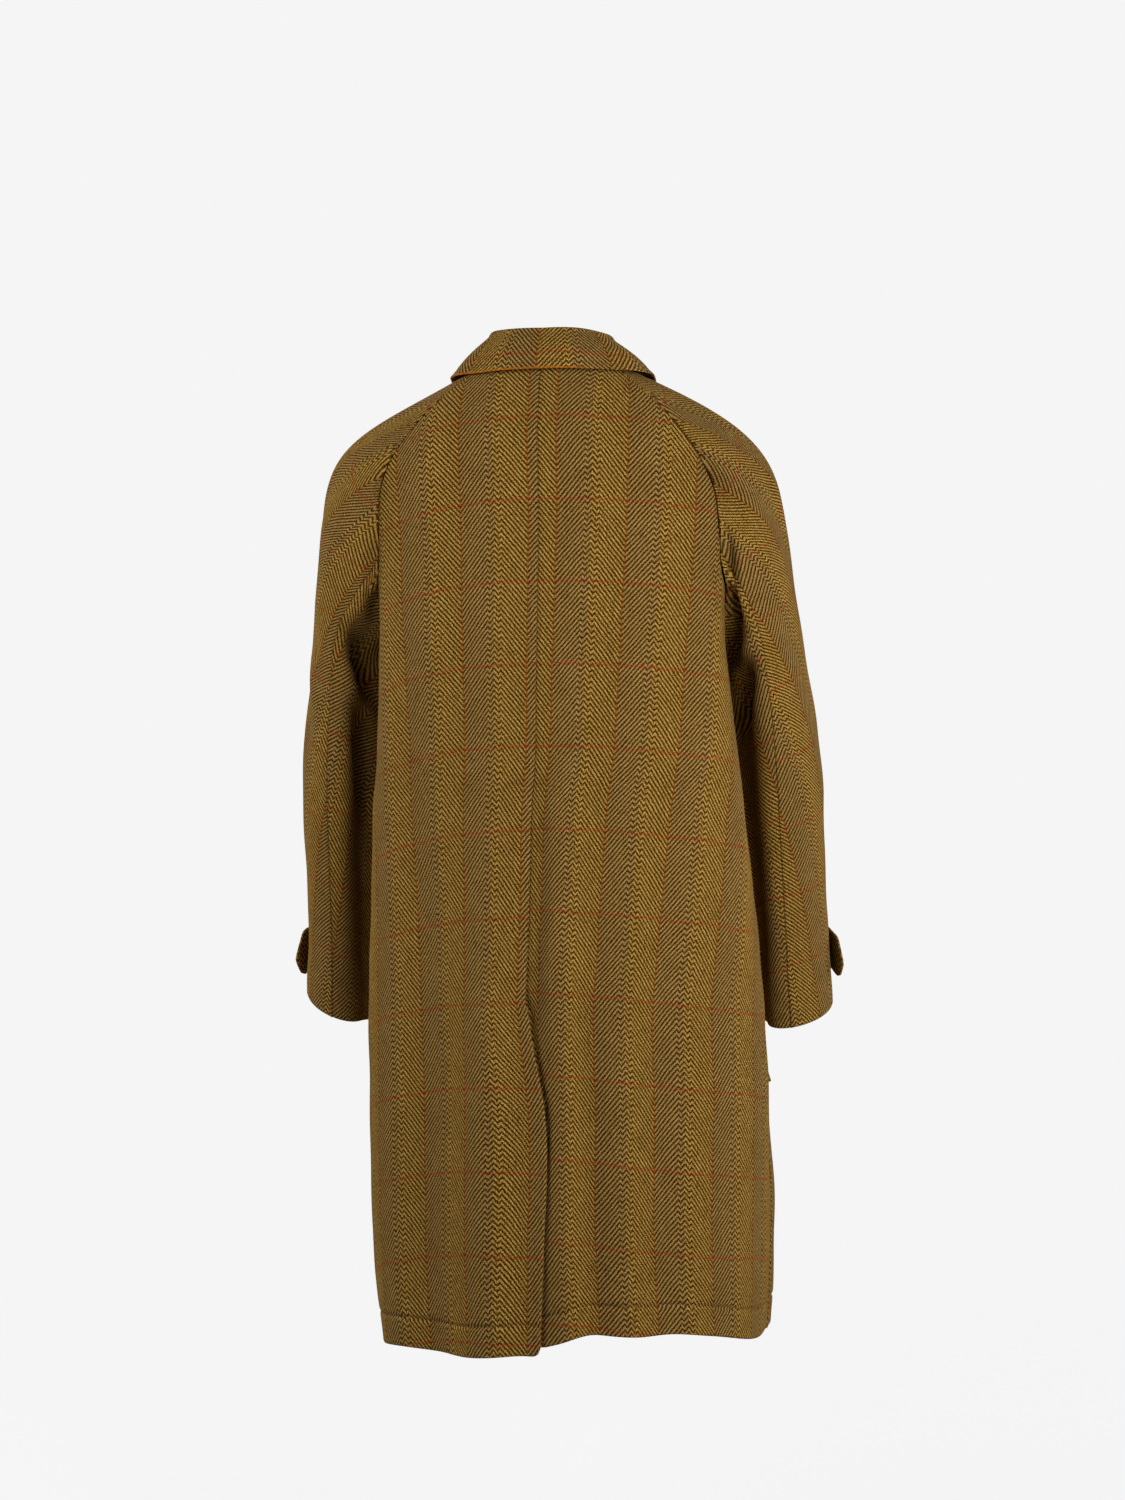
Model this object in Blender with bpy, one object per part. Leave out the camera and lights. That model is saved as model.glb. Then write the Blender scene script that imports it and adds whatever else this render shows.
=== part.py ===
"""Raglan overcoat of heavy tweed, filled out as it is worn and hollow inside.

The coat faces -Y, its wearer's left is +X and +Z is up. The origin lies on the neck's axis at the
height of the centre-back neck seam, where the shoulders carry the coat. Lengths are in metres and
angles in degrees.
"""

import math
from collections import namedtuple

import bpy
from mathutils import Vector

# Cloth and seams
CLOTH = 0.0024
SEAM_GAP = 0.0003
LAYER = 0.0034
FRONT_LAYER = 0.0046

# Neckline, an oval that drops toward the front
NECK_HALF_WIDTH = 0.080
NECK_BACK = 0.062
NECK_FRONT = 0.076
NECK_CENTRE_Y = -0.005
NECK_DROP = 0.080
NECK_CURVE = 2.6
NECK_LEDGE = 0.010
BACK_NECK_TURN = 58.0
FRONT_NECK_TURN = 112.0
FRONT_NECK_FIRST = 125.0
FRONT_NECK_LAST = 166.0

# Lengths below the neck seam
UNDERARM = -0.290
ROW_FAN = 0.040
SEAM_TURN = -0.215
HEM = -1.052
RIGHT_HEM_RAISE = 0.024
LEFT_HEM_DROP = 0.011
FRONT_LAP = 0.040

# Vent in the lower centre back: the left panel laps over the right one
VENT_TOP = -0.685
VENT_LIFT = 0.007

# Grid counts
BACK_COLUMNS = 14
FRONT_COLUMNS = 10
SEAM_UPPER = 7
NECK_ROWS = 4
SEAM_LOWER = 4
NECK_STEPS = 4
HEAD_ROWS = 6
ARM_ROWS = 7
COLLAR_STEPS = 24
TAB_STEPS = 10
FLAP_STEPS = 7

# Tabs near the cuffs, pocket flaps and buttons
LEFT_TAB_TOP = 0.074
RIGHT_TAB_TOP = 0.083
TAB_WIDTH = 0.048
TAB_START = -100.0
TAB_LEAVES = -28.0
TAB_TAIL = 0.033
TAB_POINT = 0.016
FLAP_TOP = -0.728
FLAP_HEIGHT = 0.062
FLAP_FIRST = 2.10
FLAP_LAST = 2.62
FLAP_SLANT = 0.018
FLAP_STAND = 0.007
BUTTON_RADIUS = 0.0125
BUTTON_HEIGHT = 0.0042
BUTTON_SIDES = 16
SMALL_BUTTON_RADIUS = 0.0095
FRONT_BUTTONS = 4
FIRST_BUTTON = -0.175
BUTTON_PITCH = 0.165

# Body sections: back, wing, side and front are the four turning points of a half section. The wing
# is the fold of the back panel behind the arm, the side is where the arm presses the cloth in, lean
# is the section's offset in X, side_lean that of its sides and twist its turn about Z.
Body = namedtuple("Body", "z lean side_lean twist back wing wing_y side side_y front square")
BODY = (
    Body(0.000, 0.000, 0.000, 0.0, 0.062, 0.080, -0.005, 0.080, -0.005, -0.076, 2.0),
    Body(-0.040, -0.001, 0.000, 0.0, 0.085, 0.150, -0.003, 0.128, -0.008, -0.058, 2.15),
    Body(-0.080, -0.002, -0.001, 0.0, 0.100, 0.186, 0.004, 0.160, -0.010, -0.076, 2.3),
    Body(-0.120, -0.005, -0.002, 0.5, 0.109, 0.201, 0.014, 0.174, -0.012, -0.100, 2.4),
    Body(-0.160, -0.008, -0.003, 1.0, 0.115, 0.203, 0.026, 0.179, -0.012, -0.120, 2.4),
    Body(-0.210, -0.010, -0.003, 1.5, 0.121, 0.201, 0.040, 0.181, -0.010, -0.132, 2.4),
    Body(-0.290, -0.012, -0.004, 2.5, 0.127, 0.199, 0.050, 0.179, -0.008, -0.140, 2.4),
    Body(-0.350, -0.014, -0.004, 3.5, 0.131, 0.202, 0.050, 0.171, -0.018, -0.144, 2.4),
    Body(-0.430, -0.018, -0.005, 5.0, 0.137, 0.206, 0.048, 0.170, -0.034, -0.149, 2.4),
    Body(-0.490, -0.019, -0.005, 6.0, 0.141, 0.210, 0.045, 0.172, -0.047, -0.152, 2.4),
    Body(-0.600, -0.022, -0.005, 7.0, 0.148, 0.217, 0.034, 0.176, -0.064, -0.158, 2.4),
    Body(-0.700, -0.022, -0.007, 8.0, 0.154, 0.221, 0.020, 0.180, -0.070, -0.164, 2.4),
    Body(-0.800, -0.023, -0.020, 8.0, 0.158, 0.222, 0.010, 0.205, -0.048, -0.170, 2.4),
    Body(-0.920, -0.023, -0.023, 8.0, 0.161, 0.221, 0.004, 0.215, -0.035, -0.174, 2.35),
    Body(-1.000, -0.024, -0.024, 7.5, 0.161, 0.217, 0.002, 0.213, -0.030, -0.176, 2.3),
    Body(-1.052, -0.025, -0.025, 7.0, 0.160, 0.211, 0.002, 0.209, -0.030, -0.177, 2.3),
)

# Vent edges: how far each back panel reaches past the centre back
Vent = namedtuple("Vent", "z left right")
VENT = (
    Vent(-0.600, 0.0000, 0.000),
    Vent(-0.685, -0.0004, -0.0004),
    Vent(-0.703, -0.0004, -0.0004),
    Vent(-0.720, 0.0050, 0.010),
    Vent(-0.745, 0.0120, 0.040),
    Vent(-0.800, 0.0200, 0.045),
    Vent(-0.850, 0.0230, 0.045),
    Vent(-0.950, 0.0190, 0.045),
    Vent(-1.052, 0.0110, 0.045),
)

# Raglan seams: distance from the section's centre line, on the back and on the front
Raglan = namedtuple("Raglan", "z back_x front_x")
RAGLAN = (
    Raglan(-0.001, 0.068, 0.068),
    Raglan(-0.026, 0.094, 0.074),
    Raglan(-0.040, 0.109, 0.084),
    Raglan(-0.075, 0.143, 0.108),
    Raglan(-0.117, 0.171, 0.134),
    Raglan(-0.156, 0.184, 0.150),
    Raglan(-0.215, 0.192, 0.164),
)

# Sleeve rings from just below the underarm to the cuff
Arm = namedtuple("Arm", "z lean outer inner y half_depth tilt")
ARM = (
    Arm(-0.330, 0.001, 0.278, 0.185, -0.034, 0.076, 0.0),
    Arm(-0.400, 0.000, 0.288, 0.188, -0.040, 0.074, 0.0),
    Arm(-0.480, 0.000, 0.294, 0.191, -0.050, 0.071, 0.0),
    Arm(-0.560, -0.001, 0.295, 0.195, -0.061, 0.067, 0.1),
    Arm(-0.640, -0.002, 0.297, 0.198, -0.072, 0.062, 0.6),
    Arm(-0.712, -0.002, 0.301, 0.200, -0.079, 0.057, 1.0),
)
CUFF_BACK_SLOPE = -0.31
LEFT_CUFF_SLOPE = 0.30
RIGHT_CUFF_SLOPE = 0.10
SLEEVE_SEAM_TURN = 80.0
SLEEVE_NECK_TURN = 15.0
LEFT_HEAD_FULLNESS = 1.96
RIGHT_HEAD_FULLNESS = 1.78
SEAM_FULLNESS = 1.2

# Collar sections round the neck, from centre back to the front end
Collar = namedtuple("Collar", "turn stand lean reach drop")
COLLAR = (
    Collar(0.0, 0.030, 0.008, 0.017, -0.0175),
    Collar(40.0, 0.033, 0.010, 0.024, -0.0175),
    Collar(70.0, 0.040, 0.014, 0.033, -0.0115),
    Collar(90.0, 0.046, 0.017, 0.034, -0.004),
    Collar(115.0, 0.045, 0.014, 0.037, -0.012),
    Collar(140.0, 0.040, 0.006, 0.044, -0.036),
    Collar(160.0, 0.034, 0.003, 0.048, -0.056),
    Collar(168.0, 0.032, 0.002, 0.049, -0.060),
)
COLLAR_FOLD = 0.0042
COLLAR_SET = 0.0004
COLLAR_SEAT = 0.0004
COLLAR_FRONT_SEAT = 0.0009

# Largest folds of the skirt: along is the arc from the centre back or the centre front
Fold = namedtuple("Fold", "along top foot half_width depth drift")
LEFT_BACK_FOLDS = (
    Fold(0.120, -0.62, -1.20, 0.036, -0.006, 0.012),
    Fold(0.060, -0.66, -0.98, 0.034, 0.006, 0.0),
    Fold(0.185, -0.58, -1.20, 0.030, 0.004, 0.0),
)
RIGHT_BACK_FOLDS = (
    Fold(0.076, -0.50, -1.20, 0.027, 0.004, 0.0),
    Fold(0.122, -0.46, -1.20, 0.026, -0.004, 0.0),
    Fold(0.165, -0.50, -1.20, 0.030, 0.004, 0.0),
)
FRONT_FOLDS = (
    Fold(0.130, -0.45, -1.20, 0.034, 0.005, 0.0),
    Fold(0.205, -0.55, -1.20, 0.030, -0.004, 0.0),
)

TWEED = (0.170, 0.098, 0.024)
TWEED_DARK = (0.120, 0.068, 0.020)
HORN = (0.035, 0.018, 0.010)

Panel = namedtuple("Panel", "name grid colour")


def mix(first, second, share):
    """Value a share of the way from the first to the second."""
    return first + (second - first) * share


def ease(share):
    """Share of a soft step, level at both ends."""
    share = min(max(share, 0.0), 1.0)
    return share * share * (3.0 - 2.0 * share)


def read(table, column, at):
    """Value of a table's column at a place along its first column, on a smooth curve."""
    rows = sorted(table, key=lambda row: row[0])
    keys = [row[0] for row in rows]
    values = [getattr(row, column) for row in rows]
    at = min(max(at, keys[0]), keys[-1])
    i = 0
    while i < len(keys) - 2 and at > keys[i + 1]:
        i += 1
    rises = [(values[k + 1] - values[k]) / (keys[k + 1] - keys[k]) for k in range(len(keys) - 1)]

    def slope(k):
        if k == 0:
            return rises[0]
        if k == len(keys) - 1:
            return rises[-1]
        product = rises[k - 1] * rises[k]
        if product <= 0.0:
            return 0.0
        return 2.0 * product / (rises[k - 1] + rises[k])

    span = keys[i + 1] - keys[i]
    t = (at - keys[i]) / span
    start = (1.0 + 2.0 * t) * (1.0 - t) ** 2 * values[i]
    end = t * t * (3.0 - 2.0 * t) * values[i + 1]
    bend = t * (1.0 - t) ** 2 * slope(i) - t * t * (1.0 - t) * slope(i + 1)
    return start + end + bend * span


def section(z):
    """Body sizes at a height."""
    return Body(z, *(read(BODY, name, z) for name in Body._fields[1:]))


def body_point(z, side, place):
    """Point of the body at a height.

    Side is +1 on the wearer's left and -1 on the right. Place runs from 0 at the centre back past 1
    at the wing and 2 at the side seam to 3 at the centre front, and goes on round the other side.
    """
    if place < 0.0:
        return body_point(z, -side, -place)
    if place > 3.0:
        return body_point(z, -side, 6.0 - place)
    size = section(z)
    power = 2.0 / size.square
    pressed = 0.0
    if place <= 1.0:
        angle = place * math.pi / 2.0
        x = size.wing * math.sin(angle) ** power
        y = mix(size.wing_y, size.back, max(math.cos(angle), 0.0) ** power)
    elif place <= 2.0:
        pressed = ease(place - 1.0)
        x = mix(size.wing, size.side, pressed)
        y = mix(size.wing_y, size.side_y, place - 1.0)
    else:
        pressed = ease(3.0 - place)
        angle = (3.0 - place) * math.pi / 2.0
        x = size.side * math.sin(angle) ** power
        y = mix(size.side_y, size.front, max(math.cos(angle), 0.0) ** power)
    turn = math.radians(size.twist)
    x *= side
    turned_x = x * math.cos(turn) + y * math.sin(turn)
    turned_y = y * math.cos(turn) - x * math.sin(turn)
    return Vector((turned_x + mix(size.lean, size.side_lean, pressed), turned_y, z))


def back_place(z, x):
    """Place on the back quarter at a distance from its centre line."""
    size = section(z)
    return math.asin(min((x / size.wing) ** (size.square / 2.0), 1.0)) / (math.pi / 2.0)


def front_place(z, x):
    """Place on the front quarter at a distance from its centre line."""
    size = section(z)
    return 3.0 - math.asin(min((x / size.side) ** (size.square / 2.0), 1.0)) / (math.pi / 2.0)


def neck_point(side, turn):
    """Point of the neckline at a turn from the centre back."""
    angle = math.radians(turn)
    depth = NECK_BACK - NECK_CENTRE_Y if turn < 90.0 else NECK_FRONT + NECK_CENTRE_Y
    x = side * NECK_HALF_WIDTH * math.sin(angle)
    y = NECK_CENTRE_Y + depth * math.cos(angle)
    return Vector((x, y, -NECK_DROP * ((1.0 - math.cos(angle)) / 2.0) ** NECK_CURVE))


def seam_places(back):
    """Heights and places of a raglan seam's points from the neckline down to the underarm."""
    neck = neck_point(1, BACK_NECK_TURN if back else FRONT_NECK_TURN)
    rows = []
    for k in range(SEAM_UPPER + 1):
        z = mix(neck.z, SEAM_TURN, k / SEAM_UPPER)
        if not back:
            z = mix(neck.z, SEAM_TURN, (k / SEAM_UPPER) ** 1.2)
        place = back_place(z, read(RAGLAN, "back_x", z))
        if not back:
            place = front_place(z, read(RAGLAN, "front_x", z))
        rows.append((z, place))
    start = rows[-1][1]
    for k in range(1, SEAM_LOWER + 1):
        angle = k / SEAM_LOWER * math.pi / 2.0
        rows.append((mix(SEAM_TURN, UNDERARM, math.sin(angle)), mix(2.0, start, math.cos(angle))))
    return rows


def seam_points(side, back):
    """Points of a raglan seam from the neckline down to the underarm."""
    points = [body_point(z, side, place) for z, place in seam_places(back)]
    points[0] = neck_point(side, BACK_NECK_TURN if back else FRONT_NECK_TURN)
    return points


def spaced(points, count):
    """Points at even distances along a path, with both ends kept."""
    lengths = [0.0]
    for a, b in zip(points, points[1:]):
        lengths.append(lengths[-1] + (b - a).length)
    result = []
    i = 0
    for k in range(count + 1):
        want = lengths[-1] * k / count
        while i < len(points) - 2 and lengths[i + 1] < want:
            i += 1
        span = max(lengths[i + 1] - lengths[i], 1e-9)
        result.append(points[i].lerp(points[i + 1], (want - lengths[i]) / span))
    return result


def row_heights():
    """Heights of the body's rows from just below the underarm to the hem."""
    rows = [mix(UNDERARM - ROW_FAN, VENT_TOP, k / 8.0) for k in range(1, 9)]
    rows += [VENT_TOP - 0.018, VENT_TOP - 0.035, VENT_TOP - 0.060]
    rows += [mix(VENT_TOP - 0.060, HEM, k / 6.0) for k in range(1, 7)]
    return rows


def local_x(point, z):
    """Distance of a point from the centre line of the body's section, toward the wearer's left."""
    size = section(z)
    turn = math.radians(size.twist)
    return (point.x - size.lean) * math.cos(turn) - point.y * math.sin(turn)


def end_height(z):
    """Height of a row's end at the side seam, which rises toward the underarm."""
    return z + ROW_FAN * (1.0 - ease((UNDERARM - ROW_FAN - z) / 0.16))


def middle_height(k, seam_z):
    """Height at the centre back or front of the row that ends at a raglan seam's point."""
    if k <= SEAM_UPPER:
        return seam_z
    return mix(SEAM_TURN, UNDERARM - ROW_FAN, (k - SEAM_UPPER) / SEAM_LOWER)


def fold_height(folds, along, z):
    """Height of the folds over the plain form at an arc and a height."""
    total = 0.0
    for fold in folds:
        if z > fold.top:
            continue
        share = (fold.top - z) / (fold.top - fold.foot)
        centre = fold.along + fold.drift * share
        swell = ease(3.0 * share) * ease(3.0 * (1.0 - share)) if fold.foot > HEM else ease(2.0 * share)
        across = (along - centre) / fold.half_width
        total += fold.depth * swell * math.exp(-across * across)
    return total


def outward(point, z):
    """Level direction away from the body's axis at a point."""
    centre = body_point(z, 1, 0.0).lerp(body_point(z, 1, 3.0), 0.5)
    away = Vector((point.x - centre.x, point.y - centre.y, 0.0))
    return away.normalized()


def folded_row(row, folds, z, lap):
    """Row of points moved out by the folds, which die away at the lapped edge and at the row's end."""
    total = sum((b - a).length for a, b in zip(row, row[1:])) - lap
    along = -lap
    moved = []
    for k, point in enumerate(row):
        if k:
            along += (point - row[k - 1]).length
        fade = ease(min(along, total - along) / 0.030)
        moved.append(point + outward(point, z) * fold_height(folds, along, z) * fade)
    return moved


def back_row(z, side, first, last, last_z=None):
    """Row of points on the back from one place to another, whose end may lie at another height."""
    last_z = z if last_z is None else last_z
    path = []
    for k in range(61):
        share = k / 60.0
        place = mix(first, last, share)
        path.append(body_point(mix(z, last_z, share ** 3), side, place))
    return path


def vent_share(z, begin, length):
    """Share of the vent's opening reached at a height."""
    return ease((VENT_TOP - begin - z) / length)


def back_panel(side):
    """Grid of a back panel from the neckline to the hem, its first column at the centre back."""
    grid = []
    rows = seam_places(True)
    points = seam_points(side, True)
    for k, (z, place) in enumerate(rows):
        top = 0.0 if k == 0 else middle_height(k, z)
        path = back_row(top, side, 0.0, place, z)
        path[-1] = points[k]
        grid.append(spaced(path, BACK_COLUMNS))
    folds = LEFT_BACK_FOLDS if side > 0 else RIGHT_BACK_FOLDS
    for z in row_heights():
        lap = read(VENT, "left" if side > 0 else "right", z)
        start = -math.copysign(back_place(z, abs(lap)), lap)
        path = spaced(back_row(z, side, start, 2.0, end_height(z)), BACK_COLUMNS)
        row = folded_row(path, folds, z, lap)
        shift = VENT_LIFT * vent_share(z, -0.02, 0.06) * (1.0 - vent_share(z, 0.07, 0.10))
        if side < 0:
            shift = -LAYER * vent_share(z, -0.020, 0.036)
        for j, point in enumerate(row):
            inside = side * local_x(point, z)
            reach = 1.0 - ease((inside - 0.034) / 0.060)
            row[j] = point + outward(point, z) * shift * reach
            low = ease((-0.75 - z) / (-0.75 - HEM))
            share = j / BACK_COLUMNS
            if side < 0:
                raised = mix(0.30, 1.0, ease(inside / 0.07)) * (1.0 - ease((share - 0.52) / 0.40))
                row[j].z += RIGHT_HEM_RAISE * low * raised
            else:
                dropped = ease(inside / 0.10) * (1.0 - ease((share - 0.55) / 0.35))
                row[j].z -= LEFT_HEM_DROP * low * dropped
        grid.append(row)
    return grid


def front_panel(side):
    """Grid of a front panel from the neckline to the hem, its first column at the front edge."""
    grid = []
    points = seam_points(side, False)
    rows = [(middle_height(k, z), z, place) for k, (z, place) in enumerate(seam_places(False))]
    rows += [(z, end_height(z), 2.0) for z in row_heights()]
    for k, (z, last_z, place) in enumerate(rows):
        end = points[k] if k < len(points) else body_point(last_z, side, place)
        begin_z = -NECK_DROP - NECK_LEDGE if k == NECK_ROWS else z
        first = 6.0 - front_place(begin_z, FRONT_LAP)
        begin = body_point(begin_z, side, first)
        if k < NECK_ROWS:
            turn = mix(FRONT_NECK_FIRST, FRONT_NECK_LAST, k / (NECK_ROWS - 1.0))
            begin = neck_point(side, turn)
            first = front_place(begin.z, abs(begin.x))
            begin_z = begin.z
        path = []
        for j in range(61):
            share = j / 60.0
            bend = share if k <= NECK_ROWS else share ** 3
            path.append(body_point(mix(begin_z, last_z, bend), side, mix(first, place, share)))
        if k == 0:
            turns = [mix(FRONT_NECK_FIRST, FRONT_NECK_TURN, j / 60.0) for j in range(61)]
            path = [neck_point(side, turn) for turn in turns]
        start_shift = begin - path[0]
        end_shift = end - path[-1]
        path = [p + start_shift * (1.0 - j / 60.0) + end_shift * (j / 60.0) for j, p in enumerate(path)]
        row = spaced(path, FRONT_COLUMNS)
        if k >= len(points):
            row = folded_row(row, FRONT_FOLDS, z, FRONT_LAP)
        if side < 0:
            for j, point in enumerate(row):
                under = 1.0 - ease((-local_x(point, z) - FRONT_LAP - 0.006) / 0.060)
                under *= ease((1.0 - j / FRONT_COLUMNS) / 0.4) * ease((k - 1.0) / (NECK_ROWS - 1.5))
                row[j] = point - outward(point, z) * FRONT_LAYER * under
        grid.append(row)
    return grid


def arm_point(side, z, turn):
    """Point of a sleeve ring; a turn of 0 is the outer side, 90 the back and 180 the inner side."""
    size = Arm(z, *(read(ARM, name, z) for name in Arm._fields[1:]))
    angle = math.radians(turn)
    across = (size.outer - size.inner) / 2.0 * math.cos(angle)
    deep = size.half_depth * math.sin(angle)
    slope = LEFT_CUFF_SLOPE if side > 0 else RIGHT_CUFF_SLOPE
    rise = size.tilt * (CUFF_BACK_SLOPE * deep + slope * across)
    x = side * ((size.outer + size.inner) / 2.0 + across) + size.lean
    return Vector((x, size.y + deep, z + rise))


def sleeve_columns(side, under):
    """Armhole points and turns of a sleeve's columns, from its front seam to its back seam."""
    back = seam_points(side, True)
    front = seam_points(side, False)
    turns = [mix(SLEEVE_NECK_TURN, SLEEVE_SEAM_TURN, k / SEAM_UPPER) for k in range(SEAM_UPPER + 1)]
    columns = []
    if under:
        for k in range(SEAM_UPPER, SEAM_UPPER + SEAM_LOWER + 1):
            share = (k - SEAM_UPPER) / SEAM_LOWER
            columns.append((back[k], mix(SLEEVE_SEAM_TURN, 180.0, share)))
        for k in range(SEAM_UPPER + SEAM_LOWER - 1, SEAM_UPPER - 1, -1):
            share = (k - SEAM_UPPER) / SEAM_LOWER
            columns.append((front[k], 360.0 - mix(SLEEVE_SEAM_TURN, 180.0, share)))
        return columns
    for k in range(SEAM_UPPER, 0, -1):
        columns.append((front[k], -turns[k]))
    for k in range(NECK_STEPS + 1):
        share = k / NECK_STEPS
        point = neck_point(side, mix(FRONT_NECK_TURN, BACK_NECK_TURN, share))
        columns.append((point, mix(-SLEEVE_NECK_TURN, SLEEVE_NECK_TURN, share)))
    for k in range(1, SEAM_UPPER + 1):
        columns.append((back[k], turns[k]))
    return columns


def head_direction(side, turn):
    """Direction in which the sleeve leaves the armhole."""
    angle = math.radians(min(abs(turn), abs(360.0 - turn)))
    steep = math.radians(read_head(math.degrees(angle)))
    sway = 0.20 * math.sin(angle) * math.copysign(1.0, math.sin(math.radians(turn)))
    return Vector((side * math.cos(steep), sway * math.cos(steep), -math.sin(steep))).normalized()


def read_head(turn):
    """Downward angle of the sleeve head at a turn from the shoulder line."""
    if turn < SLEEVE_SEAM_TURN:
        return mix(23.0, 58.0, turn / SLEEVE_SEAM_TURN)
    return mix(58.0, 84.0, (turn - SLEEVE_SEAM_TURN) / (180.0 - SLEEVE_SEAM_TURN))


def sleeve_panel(side, under):
    """Grid of an upper or under sleeve from the armhole and neckline to the cuff."""
    columns = sleeve_columns(side, under)
    fullness = LEFT_HEAD_FULLNESS if side > 0 else RIGHT_HEAD_FULLNESS
    grid = []
    top = ARM[0].z
    for k in range(HEAD_ROWS):
        t = k / HEAD_ROWS
        row = []
        for point, turn in columns:
            ring = arm_point(side, top, turn)
            along = (arm_point(side, top - 0.02, turn) - ring).normalized()
            round_arm = min(abs(turn), 360.0 - abs(turn)) / SLEEVE_SEAM_TURN
            chord = (ring - point).length * mix(fullness, SEAM_FULLNESS, ease(round_arm))
            start = point * ((1.0 + 2.0 * t) * (1.0 - t) ** 2)
            end = ring * (t * t * (3.0 - 2.0 * t))
            leave = head_direction(side, turn) * (chord * t * (1.0 - t) ** 2)
            arrive = along * (chord * t * t * (1.0 - t))
            row.append(start + end + leave - arrive)
        grid.append(row)
    for k in range(ARM_ROWS + 1):
        z = mix(top, ARM[-1].z, k / ARM_ROWS)
        grid.append([arm_point(side, z, turn) for point, turn in columns])
    return grid


def collar_grid():
    """Grid of the folded collar: rows run round the neck, columns up the stand and down the fall."""
    grid = []
    last = COLLAR[-1].turn
    for k in range(-COLLAR_STEPS // 2, COLLAR_STEPS // 2 + 1):
        turn = last * abs(k) / (COLLAR_STEPS // 2)
        side = 1 if k >= 0 else -1
        size = Collar(turn, *(read(COLLAR, name, turn) for name in Collar._fields[1:]))
        base = neck_point(side, turn)
        ahead = neck_point(side, turn + 0.5) - neck_point(side, turn - 0.5)
        away = Vector((side * -ahead.y, side * ahead.x, 0.0)).normalized()
        if turn == 0.0:
            away = Vector((0.0, 1.0, 0.0))
        inner = -CLOTH - size.lean
        seat = mix(COLLAR_SEAT, COLLAR_FRONT_SEAT, ease((turn - 90.0) / 25.0))
        profile = [(COLLAR_SET, seat), (mix(-CLOTH, inner, 0.6), size.stand * 0.45)]
        profile.append((inner, size.stand - COLLAR_FOLD))
        for step in range(1, 4):
            bend = math.pi * step / 4.0
            x = inner + COLLAR_FOLD * (1.0 - math.cos(bend))
            profile.append((x, size.stand - COLLAR_FOLD + COLLAR_FOLD * math.sin(bend)))
        head = (inner + 2.0 * COLLAR_FOLD, size.stand - COLLAR_FOLD)
        for step in range(5):
            share = step / 4.0
            bulge = 0.004 * math.sin(math.pi * share)
            x = mix(head[0], size.reach, share ** 1.15) + bulge
            profile.append((x, mix(head[1], size.drop, share) + bulge * 0.5))
        grid.append([base + away * x + Vector((0.0, 0.0, z)) for x, z in profile])
    return grid


def tab_grid(side):
    """Grid of a cuff tab, wrapped on the sleeve from its front and leaving it at the outer side."""
    grid = []
    low = ARM[-1].z + (LEFT_TAB_TOP if side > 0 else RIGHT_TAB_TOP) - TAB_WIDTH
    rise = SEAM_GAP + CLOTH + 0.0008
    for k in range(5):
        up = TAB_WIDTH * k / 4.0
        z = low + up
        row = []
        for step in range(TAB_STEPS + 1):
            turn = mix(TAB_START, TAB_LEAVES, step / TAB_STEPS)
            row.append(arm_point(side, z, turn) + arm_away(side, z, turn) * rise)
        course = (row[-1] - row[-2]).normalized()
        point = TAB_POINT * (1.0 - abs(2.0 * k / 4.0 - 1.0))
        for step in range(1, 4):
            row.append(row[TAB_STEPS] + course * ((TAB_TAIL + point) * step / 3.0))
        grid.append(row)
    return grid


def arm_away(side, z, turn):
    """Direction out of a sleeve ring."""
    before = arm_point(side, z, turn - 1.0)
    after = arm_point(side, z, turn + 1.0)
    course = after - before
    return Vector((side * course.y, -side * course.x, 0.0)).normalized()


def flap_grid(side):
    """Grid of a pocket flap, on the front panel near its side seam, standing off at its foot."""
    grid = []
    for k in range(4):
        drop = k / 3.0
        row = []
        for step in range(FLAP_STEPS + 1):
            share = step / FLAP_STEPS
            z = FLAP_TOP - FLAP_SLANT * share - FLAP_HEIGHT * drop
            place = mix(FLAP_FIRST, FLAP_LAST, share)
            point = front_surface(side, z, place)
            rise = SEAM_GAP + CLOTH + 0.0012 + FLAP_STAND * drop
            row.append(point + outward(point, z) * rise)
        grid.append(row)
    return grid


def front_surface(side, z, place):
    """Point on a front panel's outer face, folds included."""
    path = [body_point(z, side, mix(6.0 - front_place(z, FRONT_LAP), place, j / 40.0)) for j in range(41)]
    along = sum((b - a).length for a, b in zip(path, path[1:])) - FRONT_LAP
    point = path[-1]
    return point + outward(point, z) * max(fold_height(FRONT_FOLDS, along, z), 0.0)


def grid_normals(grid, flip):
    """Unit normals of a grid's points."""
    rows = len(grid)
    columns = len(grid[0])
    normals = []
    for i in range(rows):
        line = []
        for j in range(columns):
            down = grid[min(i + 1, rows - 1)][j] - grid[max(i - 1, 0)][j]
            across = grid[i][min(j + 1, columns - 1)] - grid[i][max(j - 1, 0)]
            normal = down.cross(across).normalized()
            line.append(-normal if flip else normal)
        normals.append(line)
    return normals


def share_normals(panels, normals):
    """Give the points that panels share along a seam one normal, where theirs nearly agree."""
    found = {}
    for panel, lines in zip(panels, normals):
        for row, line in zip(panel.grid, lines):
            for point, normal in zip(row, line):
                key = tuple(round(value, 6) for value in point)
                found.setdefault(key, []).append(normal)
    for panel, lines in zip(panels, normals):
        for row, line in zip(panel.grid, lines):
            for j, point in enumerate(row):
                own = line[j]
                near = found[tuple(round(value, 6) for value in point)]
                line[j] = sum((n for n in near if n.dot(own) > 0.0), Vector()).normalized()


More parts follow.
